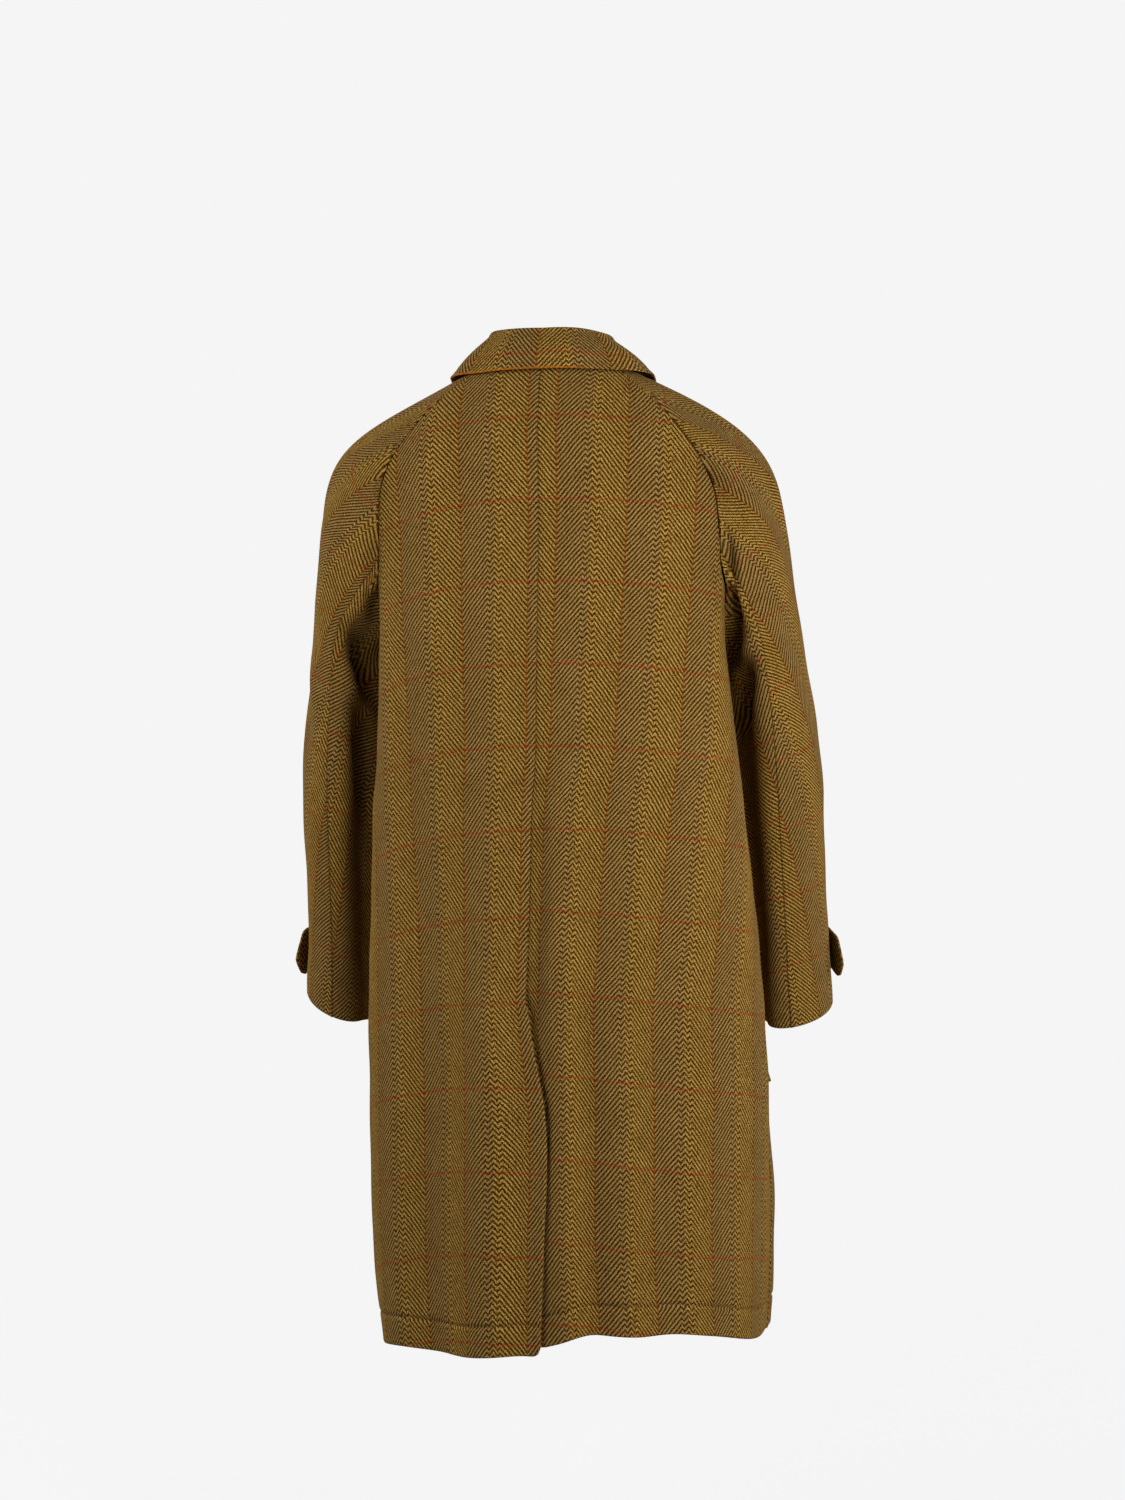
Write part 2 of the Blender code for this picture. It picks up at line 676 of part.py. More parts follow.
def drawn_back(grid, distance):
    """Grid whose outer edges are drawn in by a distance, for the gap at a seam."""
    moved = [[point.copy() for point in row] for row in grid]
    rows = len(grid)
    columns = len(grid[0])

    def inward(point, inner, before, after):
        course = (after - before).normalized()
        into = inner - point
        return (into - course * into.dot(course)).normalized() * distance

    for j in range(columns):
        before = max(j - 1, 0)
        after = min(j + 1, columns - 1)
        moved[0][j] += inward(grid[0][j], grid[1][j], grid[0][before], grid[0][after])
        moved[-1][j] += inward(grid[-1][j], grid[-2][j], grid[-1][before], grid[-1][after])
    for i in range(rows):
        before = max(i - 1, 0)
        after = min(i + 1, rows - 1)
        moved[i][0] += inward(grid[i][0], grid[i][1], grid[before][0], grid[after][0])
        moved[i][-1] += inward(grid[i][-1], grid[i][-2], grid[before][-1], grid[after][-1])
    return moved


def material(name, colour, roughness):
    """Principled material of one colour."""
    made = bpy.data.materials.new(name)
    made.use_nodes = True
    shader = made.node_tree.nodes["Principled BSDF"]
    shader.inputs["Base Color"].default_value = (*colour, 1.0)
    shader.inputs["Roughness"].default_value = roughness
    shader.inputs["Metallic"].default_value = 0.0
    return made


def add_object(name, points, faces, colour, roughness):
    """Object made of points and faces, shaded smooth."""
    mesh = bpy.data.meshes.new(name)
    mesh.from_pydata([tuple(point) for point in points], [], faces)
    mesh.shade_smooth()
    mesh.materials.append(material(name, colour, roughness))
    made = bpy.data.objects.new(name, mesh)
    bpy.context.scene.collection.objects.link(made)
    return made


def wall(name, grid, normals, colour):
    """Closed wall of cloth whose outer face is the grid."""
    rows = len(grid)
    columns = len(grid[0])
    outer = [point for row in grid for point in row]
    inner = [p - n * CLOTH for row, line in zip(grid, normals) for p, n in zip(row, line)]
    count = len(outer)
    i = rows // 2
    j = columns // 2
    across = (grid[i][j + 1] - grid[i][j]).cross(grid[i + 1][j] - grid[i][j])
    turned = across.dot(normals[i][j]) < 0.0
    faces = []
    for i in range(rows - 1):
        for j in range(columns - 1):
            a = i * columns + j
            b = a + 1
            c = a + columns + 1
            d = a + columns
            pair = ([a, b, c], [a, c, d])
            if (outer[b] - outer[d]).length < (outer[a] - outer[c]).length:
                pair = ([a, b, d], [b, c, d])
            for face in pair:
                back = [count + v for v in face]
                faces.append(face[::-1] if turned else face)
                faces.append(back if turned else back[::-1])
    rim = [j for j in range(columns)]
    rim += [i * columns + columns - 1 for i in range(1, rows)]
    rim += [(rows - 1) * columns + j for j in range(columns - 2, -1, -1)]
    rim += [i * columns for i in range(rows - 2, 0, -1)]
    for a, b in zip(rim, rim[1:] + rim[:1]):
        pair = ([b, a, count + a], [b, count + a, count + b])
        if tuple(outer[b]) > tuple(outer[a]):
            pair = ([b, a, count + b], [a, count + a, count + b])
        faces += [face[::-1] if turned else face for face in pair]
    return add_object(name, outer + inner, faces, colour, 0.9)


def button(name, place, normal, radius):
    """Turned button with a raised rim, its back face at a place on the cloth."""
    normal = normal.normalized()
    side = normal.orthogonal().normalized()
    up = normal.cross(side)
    dish = BUTTON_HEIGHT * 0.68
    profile = ((0.86, 0.0), (1.0, 0.35 * BUTTON_HEIGHT), (0.92, BUTTON_HEIGHT), (0.72, dish))
    points = []
    for share, height in profile:
        for k in range(BUTTON_SIDES):
            angle = 2.0 * math.pi * k / BUTTON_SIDES
            level = side * math.cos(angle) + up * math.sin(angle)
            points.append(place + level * (share * radius) + normal * height)
    faces = []
    for ring in range(len(profile) - 1):
        for k in range(BUTTON_SIDES):
            a = ring * BUTTON_SIDES + k
            b = ring * BUTTON_SIDES + (k + 1) % BUTTON_SIDES
            faces.append([a, b, b + BUTTON_SIDES, a + BUTTON_SIDES])
    faces.append([k for k in range(BUTTON_SIDES)][::-1])
    faces.append([(len(profile) - 1) * BUTTON_SIDES + k for k in range(BUTTON_SIDES)])
    return add_object(name, points, faces, HORN, 0.35)


def build_panels():
    """Build the cloth panels that meet at seams."""
    panels = [
        Panel("back_left", back_panel(1), TWEED),
        Panel("back_right", back_panel(-1), TWEED),
        Panel("front_left", front_panel(1), TWEED),
        Panel("front_right", front_panel(-1), TWEED),
        Panel("sleeve_left_upper", sleeve_panel(1, False), TWEED),
        Panel("sleeve_left_under", sleeve_panel(1, True), TWEED_DARK),
        Panel("sleeve_right_upper", sleeve_panel(-1, False), TWEED),
        Panel("sleeve_right_under", sleeve_panel(-1, True), TWEED_DARK),
    ]
    flips = [True, False, False, True, False, False, True, True]
    normals = [grid_normals(panel.grid, flip) for panel, flip in zip(panels, flips)]
    for lines in normals[2:4]:
        lines[0] = [normal.copy() for normal in lines[1]]
    share_normals(panels, normals)
    for panel, lines in zip(panels, normals):
        wall(panel.name, drawn_back(panel.grid, SEAM_GAP / 2.0), lines, panel.colour)


def build_trims():
    """Build the collar, tabs, pocket flaps and buttons."""
    grid = collar_grid()
    wall("collar", grid, grid_normals(grid, False), TWEED)
    for side, word in ((1, "left"), (-1, "right")):
        grid = tab_grid(side)
        wall("tab_" + word, grid, grid_normals(grid, side > 0), TWEED)
        centre = grid[2][2]
        face = grid_normals(grid, side > 0)[2][2]
        button("tab_button_" + word, centre + face * 2.0 * SEAM_GAP, face, SMALL_BUTTON_RADIUS)
        grid = flap_grid(side)
        wall("pocket_flap_" + word, grid, grid_normals(grid, side > 0), TWEED)
    for k in range(FRONT_BUTTONS):
        z = FIRST_BUTTON - BUTTON_PITCH * k
        here = body_point(z, 1, 3.0)
        slope = body_point(z - 0.01, 1, 3.0) - body_point(z + 0.01, 1, 3.0)
        level = body_point(z, 1, 2.95) - body_point(z, -1, 2.95)
        face = slope.cross(level)
        button("front_button_" + str(k + 1), here + face.normalized() * SEAM_GAP, face, BUTTON_RADIUS)


def build_coat():
    """Clear the scene and build the whole coat."""
    for item in list(bpy.data.objects):
        bpy.data.objects.remove(item, do_unlink=True)
    build_panels()
    build_trims()


build_coat()
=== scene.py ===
"""Raglan overcoat in herringbone tweed: its fine cloth, sewing and horn buttons, and a plain studio.

Each cloth piece repeats the form of its solid from the same named sizes, with finer rows, lapped seams,
rounded edges and soft creases, and carries flat coordinates of its cut that the weave follows. Lengths
are in metres and angles in degrees. The coat faces -Y and its wearer's left is +X.
"""

from __future__ import annotations

import logging
import math
from dataclasses import dataclass, field
from enum import Enum

import bpy
import numpy as np
from mathutils import Matrix, Vector

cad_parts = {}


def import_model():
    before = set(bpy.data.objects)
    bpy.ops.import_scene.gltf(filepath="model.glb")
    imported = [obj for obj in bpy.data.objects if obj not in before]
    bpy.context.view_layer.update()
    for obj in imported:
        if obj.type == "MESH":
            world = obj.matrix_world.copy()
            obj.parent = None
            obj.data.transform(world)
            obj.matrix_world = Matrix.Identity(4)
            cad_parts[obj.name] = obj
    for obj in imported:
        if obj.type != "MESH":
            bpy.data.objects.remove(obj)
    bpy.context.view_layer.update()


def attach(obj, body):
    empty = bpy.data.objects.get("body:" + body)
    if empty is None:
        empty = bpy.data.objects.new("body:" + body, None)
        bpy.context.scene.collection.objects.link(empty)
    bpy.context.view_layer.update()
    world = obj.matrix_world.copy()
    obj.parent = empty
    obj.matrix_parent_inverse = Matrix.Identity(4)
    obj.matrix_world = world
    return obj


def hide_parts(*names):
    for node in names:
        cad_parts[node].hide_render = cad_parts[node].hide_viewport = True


LOG = logging.getLogger("coat")
Array = np.ndarray
Material = bpy.types.Material
Piece = bpy.types.Object
Line = tuple[Array, Array]
Strand = tuple[Array, Array, Array]
Colour = tuple[float, float, float, float]
FLAT_MAP = "Weave"
EDGE_MAP = "Edge"
WHITE: Colour = (1.0, 1.0, 1.0, 1.0)


class Named(Enum):
    """Choice whose name stands in the names of nodes."""

    @property
    def word(self) -> str:
        """Name of the choice as node names spell it."""
        return self.name.lower()


class Side(Named):
    """Side of the wearer, with the sign of its X."""

    LEFT = 1
    RIGHT = -1


class Half(Named):
    """Half of a sleeve, with the turns of its two seams."""

    UPPER = (-80.0, 80.0)
    UNDER = (80.0, 280.0)


def mix(first: Array | float, second: Array | float, share: Array | float) -> Array | float:
    """Value a share of the way from the first to the second."""
    return first + (second - first) * share


def ease(share: Array | float) -> Array:
    """Share of a soft step, level at both ends."""
    share = np.clip(share, 0.0, 1.0)
    return share * share * (3.0 - 2.0 * share)


def unit(vectors: Array) -> Array:
    """Vectors of length one."""
    return vectors / np.maximum(np.linalg.norm(vectors, axis=-1, keepdims=True), 1e-12)


def bell(off: Array, width: Array | float) -> Array:
    """Height of a soft hump of height one at distances off its middle."""
    return np.exp(-((off / width) ** 2))


def walked(points: Array, axis: int = 0) -> Array:
    """Distances along lines of points, from the first point of each."""
    steps = np.linalg.norm(np.diff(points, axis=axis), axis=-1)
    return np.insert(np.cumsum(steps, axis=axis), 0, 0.0, axis=axis)


def between(at: Array | float, keys: Array, points: Array) -> Array:
    """Points at places among keyed points."""
    return np.stack([np.interp(at, keys, points[:, axis]) for axis in range(3)], axis=-1)


def circle(sides: int) -> list[tuple[float, float]]:
    """Corners of a regular shape of radius one."""
    turns = [2.0 * math.pi * k / sides for k in range(sides)]
    return [(math.cos(turn), math.sin(turn)) for turn in turns]


def placed(name: str, data: bpy.types.ID) -> Piece:
    """New object in the scene that shows a mesh, a lamp or a camera."""
    made = bpy.data.objects.new(name, data)
    bpy.context.scene.collection.objects.link(made)
    return made


def tube_faces(rings: int, sides: int) -> list[tuple[int, ...]]:
    """Faces of a closed tube.

    Args:
        rings: Number of its rings of points.
        sides: Number of points in a ring.

    Returns:
        Each face's points: the walls, then the two ends.
    """
    faces = []
    for start in range(0, (rings - 1) * sides, sides):
        for k in range(sides):
            a, b = start + k, start + (k + 1) % sides
            faces.append((a, b, b + sides, a + sides))
    last = (rings - 1) * sides
    return [*faces, tuple(range(sides))[::-1], tuple(range(last, last + sides))]


class Table:
    """Rows of sizes with named columns, read on a smooth curve along the first column."""

    def __init__(self, names: str, *rows: tuple[float, ...]) -> None:
        """Keep the rows in the order of their first column.

        Args:
            names: Names of the columns, the key first.
            rows: Sizes, one tuple for each row.
        """
        ordered = np.array(sorted(rows))
        self.keys = ordered[:, 0]
        self.columns = dict(zip(names.split(), ordered.T))

    def read(self, name: str, at: Array | float) -> Array:
        """Read a column.

        Args:
            name: Name of the column.
            at: Places along the first column.

        Returns:
            Values there, without overshoot.
        """
        values = self.columns[name]
        rises = np.diff(values) / np.diff(self.keys)
        product = rises[:-1] * rises[1:]
        same = product > 0.0
        inner = np.where(same, 2.0 * product / np.where(same, rises[:-1] + rises[1:], 1.0), 0.0)
        slopes = np.concatenate((rises[:1], inner, rises[-1:]))
        at = np.clip(at, self.keys[0], self.keys[-1])
        i = np.clip(np.searchsorted(self.keys, at) - 1, 0, len(self.keys) - 2)
        span = self.keys[i + 1] - self.keys[i]
        t = (at - self.keys[i]) / span
        start = (1.0 + 2.0 * t) * (1.0 - t) ** 2 * values[i]
        end = t * t * (3.0 - 2.0 * t) * values[i + 1]
        bend = t * (1.0 - t) ** 2 * slopes[i] - t * t * (1.0 - t) * slopes[i + 1]
        return start + end + bend * span

    def row(self, at: Array | float) -> dict[str, Array]:
        """Every column at places along the first one."""
        return {name: self.read(name, at) for name in self.columns}


BODY_SECTIONS = Table(
    "z lean side_lean twist back wing wing_y side side_y front square",
    (0.000, 0.000, 0.000, 0.0, 0.062, 0.080, -0.005, 0.080, -0.005, -0.076, 2.0),
    (-0.040, -0.001, 0.000, 0.0, 0.085, 0.150, -0.003, 0.128, -0.008, -0.058, 2.15),
    (-0.080, -0.002, -0.001, 0.0, 0.100, 0.186, 0.004, 0.160, -0.010, -0.076, 2.3),
    (-0.120, -0.0012, -0.002, -1.5, 0.109, 0.200, 0.014, 0.174, -0.012, -0.100, 2.4),
    (-0.160, -0.0040, -0.003, -1.0, 0.115, 0.198, 0.026, 0.179, -0.012, -0.120, 2.4),
    (-0.210, -0.0068, -0.003, 0.0, 0.121, 0.192, 0.040, 0.181, -0.010, -0.132, 2.4),
    (-0.290, -0.0076, -0.004, 0.5, 0.127, 0.188, 0.050, 0.179, -0.008, -0.140, 2.4),
    (-0.350, -0.0106, -0.004, 2.0, 0.131, 0.192, 0.050, 0.171, -0.018, -0.144, 2.4),
    (-0.430, -0.0161, -0.005, 4.2, 0.137, 0.199, 0.048, 0.170, -0.034, -0.149, 2.4),
    (-0.490, -0.019, -0.005, 7.0, 0.141, 0.206, 0.045, 0.172, -0.047, -0.152, 2.4),
    (-0.600, -0.022, -0.005, 8.4, 0.148, 0.215, 0.034, 0.176, -0.064, -0.158, 2.4),
    (-0.700, -0.022, -0.007, 8.8, 0.154, 0.221, 0.020, 0.180, -0.070, -0.164, 2.4),
    (-0.800, -0.023, -0.020, 8.0, 0.158, 0.222, 0.010, 0.205, -0.048, -0.170, 2.4),
    (-0.920, -0.023, -0.023, 8.0, 0.161, 0.221, 0.004, 0.215, -0.035, -0.174, 2.35),
    (-1.000, -0.024, -0.024, 7.5, 0.161, 0.217, 0.002, 0.213, -0.030, -0.176, 2.3),
    (-1.052, -0.025, -0.025, 7.0, 0.160, 0.211, 0.002, 0.209, -0.030, -0.177, 2.3),
)

VENT_EDGES = Table(
    "z left right",
    (-0.600, 0.0000, 0.000),
    (-0.685, -0.0004, -0.0004),
    (-0.700, 0.0045, 0.010),
    (-0.728, 0.0088, 0.036),
    (-0.760, 0.0140, 0.042),
    (-0.800, 0.0200, 0.045),
    (-0.850, 0.0230, 0.045),
    (-0.950, 0.0190, 0.045),
    (-1.052, 0.0110, 0.045),
)

RAGLAN_SEAMS = Table(
    "z back_x front_x",
    (-0.001, 0.068, 0.068),
    (-0.026, 0.094, 0.074),
    (-0.040, 0.109, 0.084),
    (-0.075, 0.143, 0.108),
    (-0.117, 0.171, 0.134),
    (-0.156, 0.184, 0.150),
    (-0.215, 0.187, 0.164),
)

SLEEVE_RINGS = Table(
    "z lean outer inner y half_depth tilt",
    (-0.330, 0.001, 0.278, 0.185, -0.034, 0.076, 0.0),
    (-0.400, 0.000, 0.288, 0.188, -0.040, 0.074, 0.0),
    (-0.480, 0.000, 0.294, 0.191, -0.050, 0.071, 0.0),
    (-0.560, -0.001, 0.295, 0.195, -0.061, 0.067, 0.1),
    (-0.640, -0.002, 0.297, 0.198, -0.072, 0.062, 0.6),
    (-0.712, -0.002, 0.301, 0.200, -0.079, 0.057, 1.0),
)

SLEEVE_GRAIN = Table(
    "height tilt",
    (0.160, 38.0),
    (0.060, 26.0),
    (-0.030, 21.0),
    (-0.150, 16.0),
    (-0.270, 11.0),
    (-0.390, 9.0),
)

COLLAR_SECTIONS = Table(
    "turn stand lean reach drop",
    (0.0, 0.030, 0.008, 0.017, -0.0175),
    (40.0, 0.0325, 0.010, 0.024, -0.0175),
    (70.0, 0.0370, 0.014, 0.033, -0.0115),
    (90.0, 0.0395, 0.016, 0.034, -0.004),
    (115.0, 0.0400, 0.013, 0.036, -0.012),
    (140.0, 0.0375, 0.006, 0.041, -0.036),
    (160.0, 0.034, 0.003, 0.043, -0.056),
    (168.0, 0.032, 0.002, 0.043, -0.060),
)


class Wire:
    """Output socket of a shader node, with arithmetic that adds Math nodes."""

    def __init__(self, graph: Graph, socket: bpy.types.NodeSocket) -> None:
        """Wrap a socket of a graph's node."""
        self.graph = graph
        self.socket = socket

    def __add__(self, other: Wire | float) -> Wire:
        """Sum of the two values."""
        return self.graph.math("ADD", self, other)

    __radd__ = __add__

    def __sub__(self, other: Wire | float) -> Wire:
        """Difference of the two values."""
        return self.graph.math("SUBTRACT", self, other)

    def __rsub__(self, other: float) -> Wire:
        """Difference of a number and this value."""
        return self.graph.math("SUBTRACT", other, self)

    def __mul__(self, other: Wire | float) -> Wire:
        """Product of the two values."""
        return self.graph.math("MULTIPLY", self, other)

    __rmul__ = __mul__

    def __truediv__(self, other: Wire | float) -> Wire:
        """Quotient of the two values."""
        return self.graph.math("DIVIDE", self, other)

    def __rtruediv__(self, other: float) -> Wire:
        """Quotient of a number and this value."""
        return self.graph.math("DIVIDE", other, self)


class Graph:
    """Node graph of one material."""

    def __init__(self, name: str) -> None:
        """Start an empty material of a name."""
        self.material = bpy.data.materials.new(name)
        self.material.use_nodes = True
        self.tree = self.material.node_tree
        self.tree.nodes.clear()

    def node(
        self, kind: str, settings: dict[str, object], inputs: dict[str | int, object], out: str | int = 0
    ) -> Wire:
        """Add a node.

        Args:
            kind: Type of the node.
            settings: Its properties.
            inputs: Values or wires of its sockets.
            out: Output that is wanted, by name or number.

        Returns:
            That output.
        """
        made = self.tree.nodes.new(kind)
        for name, value in settings.items():
            setattr(made, name, value)
        for key, value in inputs.items():
            if isinstance(value, Wire):
                self.tree.links.new(value.socket, made.inputs[key])
            else:
                made.inputs[key].default_value = value
        return Wire(self, made.outputs[out])

    def math(self, operation: str, *values: Wire | float) -> Wire:
        """Result of a Math node's operation."""
        return self.node("ShaderNodeMath", {"operation": operation}, dict(enumerate(values)))

    def blend(self, share: Wire | float, first: object, second: object, kind: str = "MIX") -> Wire:
        """Colour a share of the way from the first to the second, or to another blend of the two."""
        settings = {"data_type": "RGBA", "blend_type": kind}
        return self.node("ShaderNodeMix", settings, {0: share, 6: first, 7: second}, 2)

    def step(self, value: Wire, low: float, high: float) -> Wire:
        """Soft step of a value from 0 at low to 1 at high."""
        settings = {"interpolation_type": "SMOOTHSTEP"}
        return self.node("ShaderNodeMapRange", settings, {"Value": value, "From Min": low, "From Max": high})

    def split(self, vector: Wire) -> tuple[Wire, ...]:
        """Three coordinates of a vector."""
        first = self.node("ShaderNodeSeparateXYZ", {}, {0: vector})
        return tuple(Wire(self, socket) for socket in first.socket.node.outputs)

    def flat(self, name: str) -> tuple[Wire, ...]:
        """Two coordinates of a UV map."""
        return self.split(self.node("ShaderNodeUVMap", {"uv_map": name}, {}))[:2]

    def place(self) -> tuple[Wire, ...]:
        """Three coordinates on the piece itself."""
        return self.split(self.node("ShaderNodeTexCoord", {}, {}, "Object"))

    def bump(self, height: Wire, strength: float, distance: float) -> Wire:
        """Normal of a face with a fine relief."""
        inputs = {"Strength": strength, "Distance": distance, "Height": height}
        return self.node("ShaderNodeBump", {}, inputs)

    def noise(self, u: Wire, v: Wire, size: float, detail: float = 2.0, stretch: float = 1.0) -> Wire:
        """Add soft noise on the flat cut.

        Args:
            u: Flat coordinate across.
            v: Flat coordinate along.
            size: Size of its patches.
            detail: Octaves of finer noise.
            stretch: Length of a patch by its width.

        Returns:
            Values about one half.
        """
        place = self.node("ShaderNodeCombineXYZ", {}, {0: u, 1: v / stretch})
        inputs = {"Vector": place, "Scale": 1.0 / size, "Detail": detail, "Roughness": 0.6}
        return self.node("ShaderNodeTexNoise", {"noise_dimensions": "2D"}, inputs)

    def surface(self, colour: object, roughness: object, normal: Wire | None, **sockets: object) -> None:
        """Finish the material with a Principled shader.

        Args:
            colour: Base colour.
            roughness: Roughness.
            normal: Normal, or None for the plain one.
            sockets: Its other sockets, with underscores for spaces.
        """
        inputs = {"Base Color": colour, "Roughness": roughness}
        inputs.update({name.replace("_", " "): value for name, value in sockets.items()})
        if normal is not None:
            inputs["Normal"] = normal
        shader = self.node("ShaderNodeBsdfPrincipled", {}, inputs)
        output = self.tree.nodes.new("ShaderNodeOutputMaterial")
        self.tree.links.new(shader.socket, output.inputs["Surface"])


def rgb(red: int, green: int, blue: int) -> Colour:
    """Linear colour of display values from 0 to 255."""
    shares = (value / 255.0 for value in (red, green, blue))
    return (*(s / 12.92 if s <= 0.04045 else ((s + 0.055) / 1.055) ** 2.4 for s in shares), 1.0)


@dataclass(frozen=True)
class TweedFinish:
    """Hairy herringbone of olive yellow and dark brown with a rust and red overcheck.

    The weave is a twill of two over two: a warp end and a pick are each a quarter of its repeat.
    """

    name: str = "tweed"
    repeat: float = 0.0765
    leg: float = 0.0304
    notch: float = 0.0026
    pitch: float = 0.00592
    slope: float = 1.15
    weft_repeat: float = 0.0870
    waver: float = 0.0024
    hair_size: float = 0.0015
    cross_hair_size: float = 0.0021
    fleck_size: float = 0.0011
    slub_size: float = 0.0017
    slub_stretch: float = 12.0
    patch_size: float = 0.045
    mottle_size: float = 0.007
    rust_line: tuple[float, float] = (0.0005, 0.0013)
    red_line: tuple[float, float] = (0.0010, 0.0019)
    amber_line: tuple[float, float] = (0.0010, 0.0024)
    relief: float = 0.0008
    straw: Colour = rgb(203, 164, 89)
    olive: Colour = rgb(147, 109, 34)
    stone: Colour = rgb(152, 125, 84)
    bark: Colour = rgb(46, 24, 0)
    peat: Colour = rgb(94, 60, 6)
    rust: Colour = rgb(152, 77, 14)
    red: Colour = rgb(124, 35, 17)
    amber: Colour = rgb(190, 104, 16)
    shade: Colour = rgb(206, 203, 198)
    sheen: Colour = rgb(240, 205, 145)
    edge_line: bool = False

    def material(self) -> Material:
        """Build the material.

        Returns:
            The material.
        """
        graph = Graph(self.name)
        across, along = graph.flat(FLAT_MAP)
        u = across + (graph.noise(across, along, 0.050) - 0.5) * self.waver
        v = along + (graph.noise(along, across, 0.040) - 0.5) * self.waver
        turned = graph.math("FRACT", u / self.repeat + 0.5) - 0.5
        from_rust = graph.math("ABSOLUTE", turned) * self.repeat
        notch = graph.math("MINIMUM", graph.math("MAXIMUM", from_rust - self.leg, 0.0), self.notch)
        ends = (from_rust - notch * 2.0) * (4.0 * self.slope / self.pitch)
        picks = v * (4.0 / self.pitch)
        hair = graph.noise(across, along, self.hair_size, 3.0, 2.0)
        cross_hair = graph.noise(along, across, self.cross_hair_size, 2.0, 1.6)
        fleck = graph.noise(across, along, self.fleck_size, 1.0)
        end_slub = graph.noise(across, along, self.slub_size, 1.0, self.slub_stretch)
        pick_slub = graph.noise(along, across, self.slub_size, 1.0, self.slub_stretch)
        patch = graph.noise(across, along, self.patch_size)
        end_place = graph.math("FRACT", ends)
        pick_place = graph.math("FRACT", picks)
        float_place = (picks - graph.math("FLOOR", ends)) * 0.25
        bead = graph.math("COSINE", float_place * (2.0 * math.pi))
        smooth = graph.math("COSINE", (picks - ends) * (0.5 * math.pi) + 0.25 * math.pi)
        sides = (place * 2.0 - 1.0 for place in (end_place, pick_place))
        end_round, pick_round = (side * side for side in sides)
        raised = bead * 0.6 + smooth * 0.5 - end_round * 0.55 + (hair - 0.5) * 1.2 + (fleck - 0.5) * 3.2
        twill = graph.step(raised, -0.70, 0.60)
        # Painted shade: end_round makes the light yarn darker toward the sides of each end, where its round
        # turns away from the light.
        yellow = cross_hair * 0.4 + end_slub * 0.6 + (fleck - 0.5) * 1.6 - end_round * 0.14
        light = graph.blend(graph.step(yellow, 0.24, 0.68), self.olive, self.straw)
        stony = graph.step(turned, -0.02, 0.02) * (0.20 + cross_hair * 0.5)
        light = graph.blend(stony, light, self.stone)
        # Painted shade: pick_round makes the dark yarn darker toward the sides of each pick, where its round
        # turns away from the light.
        brown = hair * 0.4 + pick_slub * 0.6 + (fleck - 0.5) * 1.2 - pick_round * 0.16
        dark = graph.blend(graph.step(brown, 0.26, 0.66), self.bark, self.peat)
        colour = graph.blend(twill, dark, light)
        warp = (1.0 - graph.step(from_rust, *self.rust_line)) * (0.26 + twill * 0.44)
        colour = graph.blend(warp, colour, self.rust)
        weft_share = graph.math("FRACT", v / self.weft_repeat + 0.5)
        from_weft = graph.math("ABSOLUTE", weft_share - 0.5) * self.weft_repeat
        weft = (1.0 - graph.step(from_weft, *self.red_line)) * (0.82 - twill * 0.58)
        colour = graph.blend(weft, colour, self.red)
        if self.edge_line:
            turn, rise = graph.flat(EDGE_MAP)
            fade = (1.0 - graph.step(turn, 0.020, 0.070)) * graph.step(turn, -0.135, -0.105)
            band = (1.0 - graph.step(rise, *self.amber_line)) * fade * (0.35 + hair * 0.5)
            colour = graph.blend(band, colour, self.amber)
        mottle = graph.noise(across, along, self.mottle_size, 2.0, 1.4)
        stripe = graph.step(from_rust, 0.002, 0.026) * 0.15 + patch * 0.4 + mottle * 0.6
        colour = graph.blend(1.0, colour, graph.blend(stripe, self.shade, WHITE), "MULTIPLY")
        height = twill * (1.0 - end_round * 0.35) - (1.0 - twill) * pick_round * 0.3 + hair * 0.45
        graph.surface(
            colour, 0.95, graph.bump(height, 0.6, self.relief), Sheen_Weight=0.07, Sheen_Roughness=0.35,
            Sheen_Tint=self.sheen, Specular_IOR_Level=0.02,
        )
        return graph.material


@dataclass(frozen=True)
class HornFinish:
    """Dark horn with paler streaks and a satin polish."""

    name: str = "horn"
    dark: Colour = rgb(38, 22, 13)
    pale: Colour = rgb(104, 70, 40)
    streak_size: float = 0.004
    cloud_size: float = 0.011
    relief: float = 0.0003

    def material(self) -> Material:
        """Build the material.

        Returns:
            The material.
        """
        graph = Graph(self.name)
        across, _, up = graph.place()
        streak = graph.noise(across, up, self.streak_size, 4.0, 5.0)
        cloud = graph.noise(across, up, self.cloud_size)
        share = graph.step(streak * 0.6 + cloud * 0.4, 0.46, 0.72)
        normal = graph.bump(streak, 0.15, self.relief)
        rough = 0.40 + cloud * 0.16
        graph.surface(graph.blend(share, self.dark, self.pale), rough, normal, Coat_Weight=0.04)
        return graph.material


@dataclass(frozen=True)
class ThreadFinish:
    """Twisted sewing thread."""

    name: str
    colour: Colour
    shadow: Colour
    ply_size: float = 0.0012
    relief: float = 0.0002

    def material(self) -> Material:
        """Build the material.

        Returns:
            The material.
        """
        graph = Graph(self.name)
        across, _, up = graph.place()
        ply = graph.noise(across, up, self.ply_size, 3.0)
        normal = graph.bump(ply, 0.4, self.relief)
        graph.surface(graph.blend(graph.step(ply, 0.35, 0.65), self.shadow, self.colour), 0.8, normal)
        return graph.material


@dataclass(frozen=True)
class Fold:
    """Large soft fold of the skirt, as the solids have it."""

    along: float
    top: float
    foot: float
    half_width: float
    depth: float
    drift: float = 0.0

    def lift(self, along: Array, z: Array) -> Array:
        """Height of the fold.

        Args:
            along: Arcs from the centre line.
            z: Heights of the rows.

        Returns:
            How far the cloth stands out.
        """
        share = np.clip((self.top - z) / (self.top - self.foot), 0.0, None)
        off = along - self.along - self.drift * share
        return self.depth * ease(2.0 * share) * bell(off, self.half_width)


